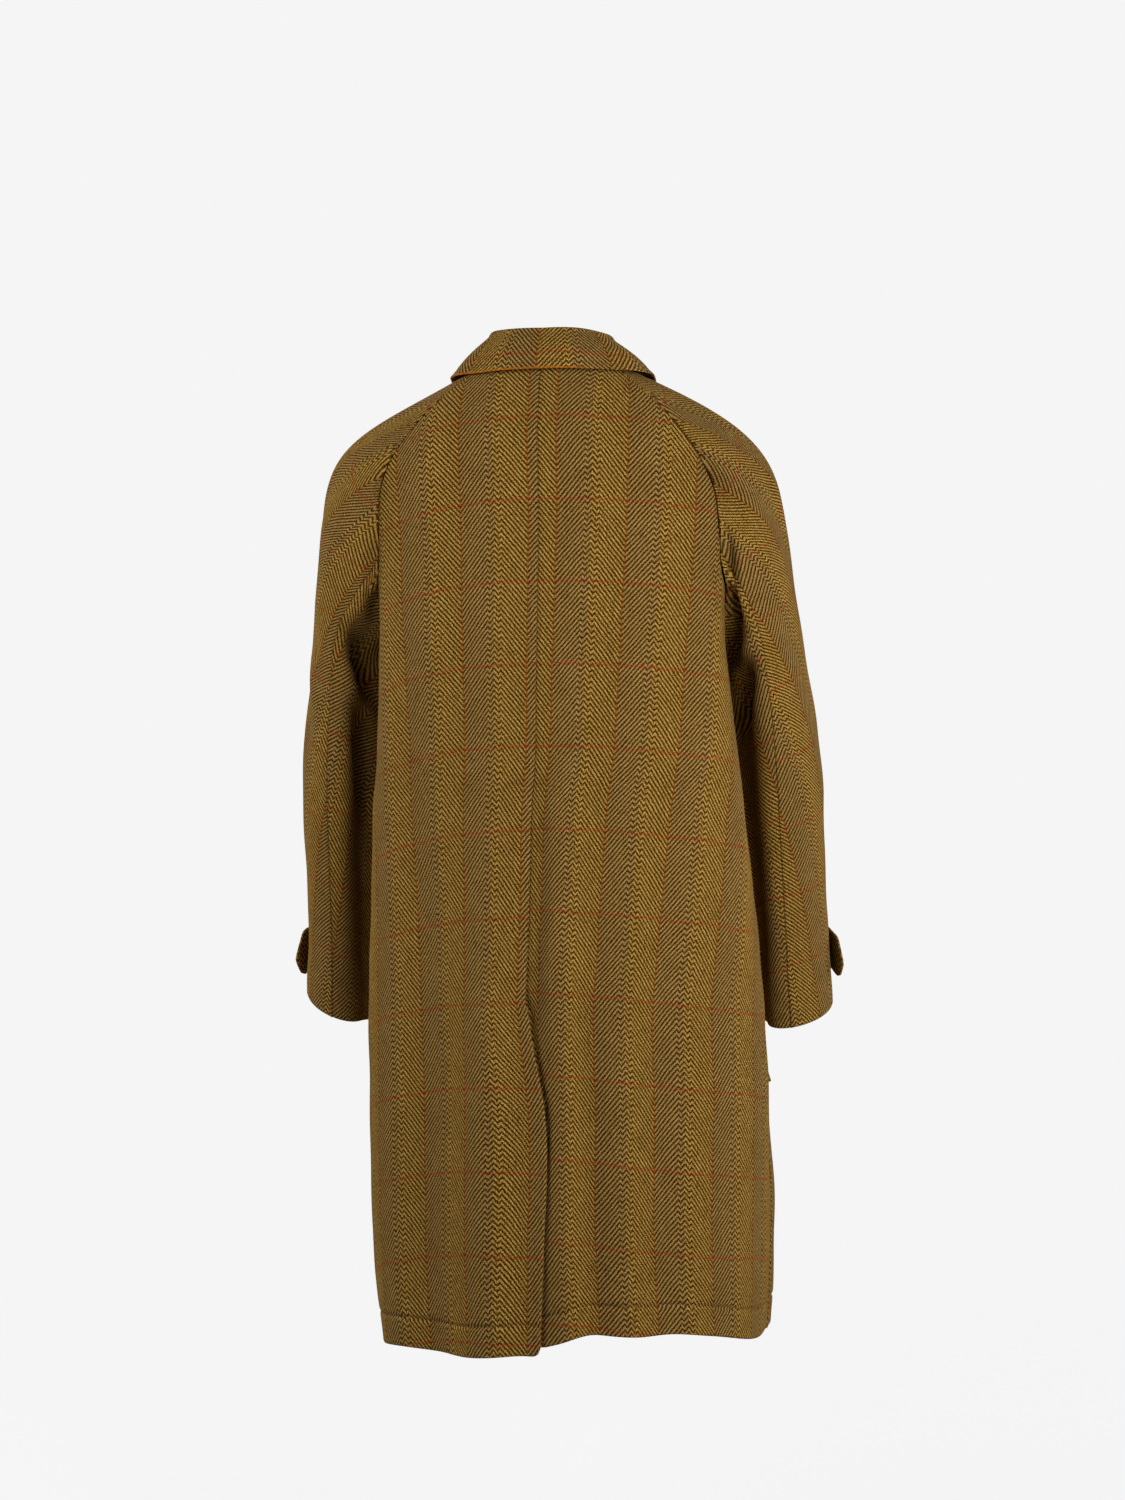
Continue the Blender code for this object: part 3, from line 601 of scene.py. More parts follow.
@dataclass(frozen=True)
class Crease:
    """Small soft ridge or trough on a piece, from one place to another."""

    start: tuple[float, float]
    end: tuple[float, float]
    half_width: float
    height: float
    past: float = 0.25
    fade: float = 0.55

    def lift(self, across: Array, up: Array) -> Array:
        """Height of the crease.

        Args:
            across: Places across the piece.
            up: Heights on the piece.

        Returns:
            How far the cloth stands out.
        """
        run = np.subtract(self.end, self.start)
        length = float(np.hypot(*run))
        course = run / length
        dx, dy = across - self.start[0], up - self.start[1]
        along = (dx * course[0] + dy * course[1]) / length
        ends = ease((along + self.past) / self.fade) * ease((1.0 + self.past - along) / self.fade)
        return self.height * ends * bell(dy * course[0] - dx * course[1], self.half_width)


@dataclass
class BodyForm:
    """Plain form of the coat's body with its neckline, raglan seams and vent."""

    neck_half_width: float = 0.080
    neck_back: float = 0.062
    neck_front: float = 0.076
    neck_centre_y: float = -0.005
    neck_drop: float = 0.080
    neck_curve: float = 2.6
    neck_ledge: float = 0.010
    back_neck_turn: float = 58.0
    front_neck_turn: float = 112.0
    front_neck_first: float = 125.0
    front_neck_last: float = 166.0
    underarm: float = -0.290
    row_fan: float = 0.040
    seam_turn: float = -0.215
    hem: float = -1.052
    vent_top: float = -0.685
    front_lap: float = 0.040
    seam_upper: int = 7
    seam_lower: int = 4
    neck_rows: int = 4
    cloth: float = 0.0024
    upper_count: int = 78
    row_step: float = 0.0046
    fan_fade: float = 0.16
    fine_foot: float = 0.042
    hem_stitch: float = 0.032
    stitch_rows: tuple[float, ...] = (0.006, 0.0036, 0.0018, 0.0, -0.0018, -0.0036, -0.006)
    hem_groove: float = 0.0026
    hem_groove_width: float = 0.0021
    turn_up: float = 0.036
    turn_up_fade: float = 0.010
    fold_fade: float = 0.030
    sections: Table = BODY_SECTIONS
    vent: Table = VENT_EDGES
    raglan: Table = RAGLAN_SEAMS

    @property
    def seam_count(self) -> int:
        """Count at the underarm, where the raglan seams end."""
        return self.seam_upper + self.seam_lower

    def point(self, z: Array | float, sign: int, place: Array | float) -> Array:
        """Points of the body.

        Args:
            z: Heights.
            sign: Sign of the side.
            place: Places: 0 centre back, 1 fold behind the arm, 2 side seam, 3 centre front.

        Returns:
            Points.
        """
        z, place = np.broadcast_arrays(np.asarray(z, float), np.asarray(place, float))
        over = (place < 0.0) | (place > 3.0)
        signs = np.where(over, -sign, sign)
        place = np.where(place < 0.0, -place, np.where(place > 3.0, 6.0 - place, place))
        size = self.sections.row(z)
        power = 2.0 / size["square"]
        back = np.clip(place, 0.0, 1.0) * math.pi / 2.0
        front = np.clip(3.0 - place, 0.0, 1.0) * math.pi / 2.0
        flank = np.clip(place - 1.0, 0.0, 1.0)
        parts = [place <= 1.0, place <= 2.0]
        xs = [size["wing"] * np.sin(back) ** power, mix(size["wing"], size["side"], ease(flank))]
        ys = [
            mix(size["wing_y"], size["back"], np.maximum(np.cos(back), 0.0) ** power),
            mix(size["wing_y"], size["side_y"], flank),
        ]
        front_y = mix(size["side_y"], size["front"], np.maximum(np.cos(front), 0.0) ** power)
        x = np.select(parts, xs, size["side"] * np.sin(front) ** power) * signs
        y = np.select(parts, ys, front_y)
        pressed = np.select(parts, [np.zeros_like(place), ease(flank)], ease(3.0 - place))
        turn = np.radians(size["twist"])
        lean = mix(size["lean"], size["side_lean"], pressed)
        turned_x = x * np.cos(turn) + y * np.sin(turn) + lean
        return np.stack((turned_x, y * np.cos(turn) - x * np.sin(turn), z), axis=-1)

    def quarter(self, column: str, z: Array, x: Array) -> Array:
        """Shares of a quarter's turn at distances from its centre line, by the column of its half width."""
        share = (x / self.sections.read(column, z)) ** (self.sections.read("square", z) / 2.0)
        return np.arcsin(np.minimum(share, 1.0)) / (math.pi / 2.0)

    def back_place(self, z: Array, x: Array) -> Array:
        """Places on the back quarter at distances from its centre line."""
        return self.quarter("wing", z, x)

    def front_place(self, z: Array, x: Array) -> Array:
        """Places on the front quarter at distances from its centre line."""
        return 3.0 - self.quarter("side", z, x)

    def neck(self, sign: Array | int, turn: Array | float) -> Array:
        """Points of the neckline.

        Args:
            sign: Signs of the side.
            turn: Turns from the centre back.

        Returns:
            Points.
        """
        turn = np.asarray(turn, float)
        angle = np.radians(turn)
        depth = np.where(
            turn < 90.0, self.neck_back - self.neck_centre_y, self.neck_front + self.neck_centre_y
        )
        x = sign * self.neck_half_width * np.sin(angle)
        z = -self.neck_drop * ((1.0 - np.cos(angle)) / 2.0) ** self.neck_curve
        return np.stack((x, self.neck_centre_y + depth * np.cos(angle), z), axis=-1)

    def neck_turn(self, back: bool) -> float:
        """Turn at which a raglan seam meets the neckline."""
        return self.back_neck_turn if back else self.front_neck_turn

    def seam(self, back: bool, k: Array) -> tuple[Array, Array]:
        """Raglan seam between the neckline and the underarm.

        Args:
            back: Whether it is the seam on the back.
            k: Counts along the seam, 0 at the neckline.

        Returns:
            Heights and places of the seam's points.
        """
        column, to_place = ("back_x", self.back_place) if back else ("front_x", self.front_place)
        upper = np.clip(k / self.seam_upper, 0.0, 1.0)
        z = mix(self.neck(1, self.neck_turn(back))[2], self.seam_turn, upper if back else upper**1.2)
        place = to_place(z, self.raglan.read(column, z))
        start = to_place(self.seam_turn, self.raglan.read(column, self.seam_turn))
        lower = np.clip((k - self.seam_upper) / self.seam_lower, 0.0, 1.0) * math.pi / 2.0
        below = k > self.seam_upper
        z = np.where(below, mix(self.seam_turn, self.underarm, np.sin(lower)), z)
        return z, np.where(below, mix(2.0, start, np.cos(lower)), place)

    def seam_point(self, sign: int, back: bool, k: Array) -> Array:
        """Points of a raglan seam.

        Args:
            sign: Sign of the side.
            back: Whether it is the seam on the back.
            k: Counts along the seam.

        Returns:
            Points, the first on the neckline.
        """
        z, place = self.seam(back, k)
        first_z, first_place = self.seam(back, np.zeros(1))
        shift = self.neck(sign, self.neck_turn(back)) - self.point(first_z, sign, first_place)[0]
        near = np.clip(1.0 - k, 0.0, 1.0)
        return self.point(z, sign, place) + shift * near[..., None]

    def middle_height(self, k: Array, seam_z: Array) -> Array:
        """Heights at the centre of the rows that end at a raglan seam."""
        low = mix(self.seam_turn, self.underarm - self.row_fan, (k - self.seam_upper) / self.seam_lower)
        return np.where(k <= self.seam_upper, seam_z, low)

    def end_height(self, z: Array) -> Array:
        """Heights of the rows' ends at the side seam, which rise toward the underarm."""
        return z + self.row_fan * (1.0 - ease((self.underarm - self.row_fan - z) / self.fan_fade))

    def upper_rows(self) -> Array:
        """Counts along the raglan seam of the rows above the underarm."""
        return np.linspace(0.0, self.seam_count, self.upper_count)

    def lower_rows(self) -> Array:
        """Heights of the rows below the underarm, close together at the hem and its stitches."""
        foot, top = self.hem + self.fine_foot, self.underarm - self.row_fan
        even = np.linspace(top, foot, int((top - foot) / self.row_step))[1:]
        stitch = self.hem + self.hem_stitch + np.array(self.stitch_rows)
        return np.concatenate((even, stitch, self.hem + EDGE_ROWS))

    def counts(self, k: Array, low: Array) -> Array:
        """Counts of the upper rows, and one past the underarm for each lower row."""
        return np.concatenate((k, np.full(len(low), self.seam_count + 1.0)))

    def hem_line(self, z: Array) -> Array:
        """Lift, less than nothing, of the rows that the hem's stitches draw in."""
        return -self.hem_groove * bell(z - self.hem - self.hem_stitch, self.hem_groove_width)[:, None]

    def turned_up(self, above: Array) -> Array:
        """Share of the second layer of cloth in rows at heights above a hem or cuff."""
        return ease((self.turn_up - above) / self.turn_up_fade)[:, None]

    def outward(self, points: Array, z: Array) -> Array:
        """Level directions away from the body's axis, at points of sections at heights."""
        centre = (self.point(z, 1, 0.0) + self.point(z, 1, 3.0)) / 2.0
        return unit((points - centre) * (1.0, 1.0, 0.0))

    def swell(self, folds: tuple[Fold, ...], arc: Array, reach: Array, z: Array) -> Array:
        """Lift of the skirt's folds at arcs from the centre line, faded toward the ends of the rows."""
        fade = ease(np.minimum(arc, reach[:, None] - arc) / self.fold_fade)
        return (sum(fold.lift(arc, z[:, None]) for fold in folds) * fade)[..., None]

    def local_x(self, points: Array, z: Array) -> Array:
        """Distances of rows of points to the left of their sections' centre line."""
        turn, lean = (self.sections.read(name, z)[..., None] for name in ("twist", "lean"))
        return (points[..., 0] - lean) * np.cos(np.radians(turn)) - points[..., 1] * np.sin(np.radians(turn))

    def vent_share(self, z: Array, begin: float, length: float) -> Array:
        """Share of the vent's opening reached at heights."""
        return ease((self.vent_top - begin - z) / length)

    def down(self, z: Array | float) -> Array:
        """Lengths down the centre back from the neck seam, less than nothing, at heights."""
        heights = np.linspace(0.0, self.hem - 0.03, 400)
        return -np.interp(-np.asarray(z), -heights, walked(self.point(heights, 1, 0.0)))


# Heights of the last rows above a hem or cuff, and distances of columns from seams and edges.
EDGE_ROWS = np.array((0.021, 0.0165, 0.012, 0.0085, 0.0056, 0.0028, 0.0))
PATH_SHARES = np.linspace(0.0, 1.0, 141)[None]
FREE_EDGE = np.array((0.0, 0.0028, 0.0056, 0.0088))
WIDE_EDGE = np.array((0.0, 0.0028, 0.0056, 0.0088, 0.0122, 0.0160))
UNDERLAP = np.array((-0.0060, -0.0030, 0.0, 0.0028, 0.0056, 0.0088))
TUCKED_EDGE = np.array((0.0085, 0.0058, 0.0030, 0.0, -0.0025, -0.0050))
ROLLED_EDGE = np.array((0.0100, 0.0072, 0.0046, 0.0024, 0.0006, -0.0014))


def resample(paths: Array, wanted: Array) -> Array:
    """Find points along paths.

    Args:
        paths: Paths of points, one a row.
        wanted: Distances along each, also past its ends.

    Returns:
        The points at those distances.
    """
    result = np.empty((*wanted.shape, 3))
    for path, length, want, out in zip(paths, walked(paths, 1), wanted, result):
        i = np.clip(np.searchsorted(length, want) - 1, 0, len(length) - 2)
        share = (want - length[i]) / np.maximum(length[i + 1] - length[i], 1e-9)
        out[:] = path[i] + (path[i + 1] - path[i]) * share[:, None]
    return result


def path_lengths(paths: Array) -> Array:
    """Lengths of paths, whose points run along the last axis but one."""
    return np.linalg.norm(np.diff(paths, axis=-2), axis=-1).sum(axis=-1)


def spread(head: Array, tail: Array, total: Array, count: int) -> Array:
    """Distances along rows, close together near both ends and even between.

    Args:
        head: Distances from the start, for all rows or each.
        tail: Falling distances from the end, likewise.
        total: Lengths of the rows.
        count: Number of even steps between.

    Returns:
        Distances, one row for each row.
    """
    head, tail = (np.broadcast_to(ends, (len(total), ends.shape[-1])) for ends in (head, tail))
    start, stop = head[:, -1:], total[:, None] - tail[:, :1]
    even = start + (stop - start) * np.linspace(0.0, 1.0, count + 1)[None, 1:-1]
    return np.concatenate((head, even, total[:, None] - tail), axis=1)


class Seam(Enum):
    """How the cloth lies along a seam, with the height and the width of its rise."""

    OVER = (0.0010, 0.0070)
    UNDER = (-0.0026, 0.0026)
    PRESSED = (-0.0012, 0.0034)

    def lift(self, inside: Array) -> Array:
        """Lift of the cloth at distances inside the seam line."""
        height, width = self.value
        return height * (1.0 - ease(inside / width))


def ripple(across: Array, up: Array, seed: float) -> Array:
    """Slight unevenness of hanging cloth.

    Args:
        across: Places across the piece.
        up: Heights on the piece.
        seed: Number of its own for each piece.

    Returns:
        Heights of less than a millimetre.
    """
    turn = 2.0 * math.pi
    first = np.sin(turn * (across / 0.113 + up / 0.71 + seed) + 1.3 * np.sin(turn * (up / 0.31 + seed)))
    second = np.sin(turn * (across / 0.067 - up / 0.43 + 2.0 * seed) + 1.1 * np.sin(turn * up / 0.19))
    third = np.sin(turn * (up / 0.087 + across / 0.24 + 3.0 * seed) + 1.7 * np.sin(turn * across / 0.15))
    return 0.00045 * first + 0.00030 * second + 0.00030 * third


@dataclass
class Cloth:
    """Fine grid of one cut piece: its outer face, its flat coordinates and its thickness."""

    node: str
    grid: Array
    flat: Array
    turned: bool
    thick: Array
    edge: Array | None = None
    rounds: int = 4
    cut: tuple[float, float] | None = None

    def normals(self) -> Array:
        """Unit normals of the grid's points, out of the coat."""
        normals = unit(np.cross(np.gradient(self.grid, axis=0), np.gradient(self.grid, axis=1)))
        return -normals if self.turned else normals

    def lift(self, heights: Array) -> None:
        """Move the face out by heights along its normals."""
        self.grid = self.grid + self.normals() * heights[..., None]

    def area(self) -> float:
        """Area of the face."""
        grid = self.grid
        crossed = np.cross(grid[1:, 1:] - grid[:-1, :-1], grid[1:, :-1] - grid[:-1, 1:])
        return float(np.linalg.norm(crossed, axis=-1).sum() / 2.0)

    def flat_size(self) -> tuple[float, float]:
        """Width and length of the flat cut."""
        width, length = np.ptp(self.flat, axis=(0, 1))
        return self.cut or (float(width), float(length))

    def rim(self) -> tuple[Array, Array, Array]:
        """Find the face's border.

        Returns:
            Numbers of its points in turn, and their directions out of the piece and its cut.
        """
        rows, columns = self.grid.shape[:2]
        number = np.arange(rows * columns).reshape(rows, columns)
        border = np.concatenate((number[0], number[1:, -1], number[-1, -2::-1], number[-2:0:-1, 0]))
        ways = []
        for values in (self.grid, self.flat):
            away = np.zeros_like(values)
            away[0] += unit(values[0] - values[1])
            away[-1] += unit(values[-1] - values[-2])
            away[:, 0] += unit(values[:, 0] - values[:, 1])
            away[:, -1] += unit(values[:, -1] - values[:, -2])
            ways.append(unit(away.reshape(rows * columns, -1)[border]))
        return border, ways[0], ways[1]

    def faces(self, border: Array) -> Array:
        """Faces of the wall.

        Args:
            border: Numbers of the border's points.

        Returns:
            Faces of its two sides and its rounded edge.
        """
        rows, columns = self.grid.shape[:2]
        number = np.arange(rows * columns).reshape(rows, columns)
        corners = (number[:-1, :-1], number[:-1, 1:], number[1:, 1:], number[1:, :-1])
        quads = np.stack(corners, axis=-1).reshape(-1, 4)
        rings = 2 * number.size + np.arange(len(border) * (self.rounds - 1)).reshape(-1, len(border))
        chain = (border, *rings, number.size + border)
        strips = np.concatenate([
            np.stack((np.roll(first, -1), first, second, np.roll(second, -1)), axis=-1)
            for first, second in zip(chain, chain[1:])
        ])
        if not self.turned:
            quads, strips = quads[:, ::-1], strips[:, ::-1]
        return np.concatenate((quads, quads[:, ::-1] + number.size, strips))

    def build(self, name: str, finish: Material) -> Piece:
        """Build the closed wall with rounded edges.

        Args:
            name: Name of the piece.
            finish: Material of the cloth.

        Returns:
            The piece.
        """
        normals, thick = self.normals().reshape(-1, 3), self.thick.reshape(-1, 1)
        border, away, flat_away = self.rim()
        half = thick[border] / 2.0
        outer = self.grid.reshape(-1, 3).copy()
        outer[border] -= away * half
        inner = outer - normals * thick
        middle = (outer[border] + inner[border]) / 2.0
        angles = [math.pi * step / self.rounds for step in range(1, self.rounds)]
        rings = [
            middle + (normals[border] * math.cos(angle) + away * math.sin(angle)) * half for angle in angles
        ]
        flat = self.flat.reshape(-1, 2).copy()
        turned_in = [flat[border] + flat_away * half * (angle - 1.0) for angle in angles]
        flat[border] -= flat_away * half
        maps = {FLAT_MAP: (flat, flat, *turned_in)}
        if self.edge is not None:
            edge = self.edge.reshape(-1, 2)
            maps[EDGE_MAP] = (edge, edge, *(edge[border] for _ in angles))
        faces = self.faces(border)
        mesh = bpy.data.meshes.new(name)
        mesh.from_pydata(np.concatenate((outer, inner, *rings)).tolist(), [], faces.tolist())
        for title, values in maps.items():
            layer = mesh.uv_layers.new(name=title)
            layer.data.foreach_set("uv", np.concatenate(values)[faces.reshape(-1)].reshape(-1))
        mesh.materials.append(finish)
        mesh.shade_smooth()
        mesh.validate()
        return placed(name, mesh)


def eased(grid: Array, flat: Array, rounds: int = 300, rate: float = 0.22) -> Array:
    """Ease a flat cut until its steps are about as long as on the form.

    Args:
        grid: Points of the face.
        flat: First flat coordinates.
        rounds: Number of passes.
        rate: Share of a move made in a pass.

    Returns:
        Flat coordinates with less stretch.
    """
    flat = flat.copy()
    every, before, after = slice(None), slice(None, -1), slice(1, None)
    pairs = (
        ((every, before), (every, after)), ((before, every), (after, every)),
        ((before, before), (after, after)), ((before, after), (after, before)),
    )
    lengths = [np.linalg.norm(grid[b] - grid[a], axis=-1) for a, b in pairs]
    for _ in range(rounds):
        push = np.zeros_like(flat)
        for (a, b), length in zip(pairs, lengths):
            step = flat[b] - flat[a]
            error = 1.0 - length / np.maximum(np.linalg.norm(step, axis=-1), 1e-9)
            move = step * (0.5 * error)[..., None]
            push[a] += move
            push[b] -= move
        flat += push * rate
    return flat


@dataclass
class BackPanel:
    """One half of the back from the neckline to the hem, with its side of the vent."""

    form: BodyForm
    side: Side
    folds: tuple[Fold, ...]
    creases: tuple[Crease, ...]
    rust_offset: float
    hem_shift: float
    shear: float = 0.0
    droop_radius: float = 0.62
    even_columns: int = 66
    converge: float = 0.33
    vent_lift: float = 0.0044
    vent_corner: float = 0.009
    vent_facing: float = 0.034
    second_layer: float = 0.0016
    layer: float = 0.0034
    weft_height: float = -0.2473
    waist: float = -0.45
    uneven_top: float = -0.75

    def cloth(self) -> Cloth:
        """Lay out the fine grid of the panel.

        Returns:
            The panel's cloth.
        """
        form, sign, left = self.form, self.side.value, self.side is Side.LEFT
        k, low = form.upper_rows(), form.lower_rows()
        seam_z, seam_place = form.seam(True, k)
        middle = form.middle_height(k, seam_z) - seam_z[0] * np.clip(1.0 - k, 0.0, 1.0)
        lap = np.concatenate((np.zeros(len(k)), form.vent.read(self.side.word, low)))
        z = np.concatenate((middle, low))
        ends = np.concatenate((seam_z, form.end_height(low)))
        places = np.concatenate((seam_place, np.full(len(low), 2.0)))
        first = -np.copysign(form.back_place(z, np.abs(lap)), lap)
        heights = mix(z[:, None], ends[:, None], PATH_SHARES**3)
        paths = form.point(heights, sign, mix(first[:, None], places[:, None], PATH_SHARES))
        shift = form.neck(sign, form.back_neck_turn) - paths[0, -1]
        near = np.clip(1.0 - form.counts(k, low), 0.0, 1.0)[:, None]
        paths = paths + shift * (near * PATH_SHARES**8)[..., None]
        total = path_lengths(paths)
        opened = form.vent_share(z, 0.0, 0.05)[:, None]
        head = FREE_EDGE if left else mix(UNDERLAP, WIDE_EDGE, opened)
        along = spread(head, TUCKED_EDGE, total, self.even_columns)
        arc, to_seam = along - lap[:, None], total[:, None] - along
        grid = self.draped(resample(paths, along), z, arc, total - lap, along / total[:, None])
        flat, thick = self.flat(grid, along, arc), self.thickness(z, along)
        cloth = Cloth("back_" + self.side.word, grid, flat, left, thick)
        cloth.cut = (float(total.max()), float(np.ptp(form.down(grid[..., 2]))))
        centre = Seam.PRESSED.lift(along) if left else Seam.UNDER.lift(arc)
        lift = Seam.UNDER.lift(to_seam) + centre * (1.0 - opened) + form.hem_line(z)
        soft = ease(arc / 0.02) * ease(to_seam / 0.02)
        lift = lift + ripple(arc * sign, grid[..., 2], 0.3 if left else 0.8) * soft
        lift = lift + sum(crease.lift(arc, grid[..., 2]) for crease in self.creases)
        cloth.lift(lift + self.vent_step(z, along, arc))
        return cloth

    def vent_step(self, z: Array, along: Array, arc: Array) -> Array:
        """Lift of the left edge of the vent, and the hollow beside it in the cloth below.

        Args:
            z: Heights of the rows.
            along: Distances from its edge.
            arc: Arcs from the centre back.

        Returns:
            Heights, one for each point.
        """
        form = self.form
        opened = form.vent_share(z, -0.006, 0.018)[:, None]
        if self.side is Side.LEFT:
            return 0.0010 * opened * (1.0 - ease(along / 0.010))
        off = arc - form.vent.read("left", z)[:, None] + 0.0010
        width = mix(0.0046, 0.0025, form.vent_share(z, 0.0, 0.06))[:, None]
        deep = mix(0.0060, 0.0026, form.vent_share(z, 0.11, 0.12))[:, None]
        return -deep * opened * bell(off, width)

    def draped(self, grid: Array, z: Array, arc: Array, reach: Array, share: Array) -> Array:
        """Give the plain form its skirt folds, its vent and its uneven hem.

        Args:
            grid: Points of the plain form.
            z: Heights of the rows.
            arc: Arcs from the centre back.
            reach: Arcs of the rows' ends.
            share: Shares of the rows' lengths.

        Returns:
            The moved points.
        """
        form = self.form
        away = form.outward(grid, z[:, None])
        grid = grid + away * form.swell(self.folds, arc, reach, z)
        inside = self.side.value * form.local_x(grid, z)
        if self.side is Side.LEFT:
            shift = self.vent_lift * form.vent_share(z, -0.02, 0.06)
            shift = shift * (1.0 - 0.3 * form.vent_share(z, 0.07, 0.10))
            dip = ease(inside / 0.10) + 0.9 * bell(share - 0.74, 0.15)
            uneven = dip * (1.0 - ease((share - 0.80) / 0.20))
        else:
            shift = -self.layer * form.vent_share(z, -0.020, 0.036)
            uneven = mix(0.30, 1.0, ease(inside / 0.07)) * (1.0 - ease((share - 0.52) / 0.40))
        near_vent = 1.0 - ease((inside - self.vent_facing) / 0.060)
        grid = grid + away * (shift[:, None] * near_vent)[..., None]
        low = ease((self.uneven_top - z) / (self.uneven_top - form.hem))[:, None]
        grid[..., 2] += self.hem_shift * low * uneven
        if self.side is Side.LEFT:
            short = np.clip(1.0 - share * 0.30 / self.vent_corner, 0.0, 1.0)
            near_hem = ease((form.hem + 0.02 - z) / 0.02)[:, None]
            grid[..., 2] += self.vent_corner * (1.0 - np.sqrt(1.0 - short**2)) * near_hem
        return grid

    def flat(self, grid: Array, along: Array, arc: Array) -> Array:
        """Flat coordinates of the cut, eased so that its lines fall as they hang.

        Args:
            grid: Points of the face.
            along: Distances from its edge.
            arc: Arcs from the centre back.

        Returns:
            Distances from a rust line and from a red line.
        """
        form, z = self.form, grid[..., 2]
        depth = np.clip(-0.08 - z, 0.0, 0.60)
        across = arc
        v = form.down(z) - form.down(self.weft_height) + arc**2 / (2.0 * self.droop_radius)
        v = v - 0.005 * ease((z + 0.18) / 0.10)
        if self.side is Side.LEFT:
            across = arc + (along - arc) * 0.6 * (1.0 - ease(arc / 0.07))
            v = v + 0.007 * ease((self.waist - z) / 0.20) + 0.004 * ease((-0.92 - z) / 0.12)
        else:
            slip = np.clip((self.waist - z) / 0.60, 0.0, 1.0) * (1.0 - 0.45 * ease(arc / 0.20))
            v = v - 0.013 * slip
        u = across / (1.0 - self.converge * depth) + self.shear * depth - self.rust_offset
        return np.stack((-u * self.side.value, v), axis=-1)

    def thickness(self, z: Array, along: Array) -> Array:
        """Thickness of the cloth, doubled at the hem and along the vent."""
        vent = self.form.vent_share(z, 0.0, 0.05)[:, None] * ease((self.vent_facing - along) / 0.012)
        return self.form.cloth + self.second_layer * np.maximum(self.form.turned_up(z - self.form.hem), vent)


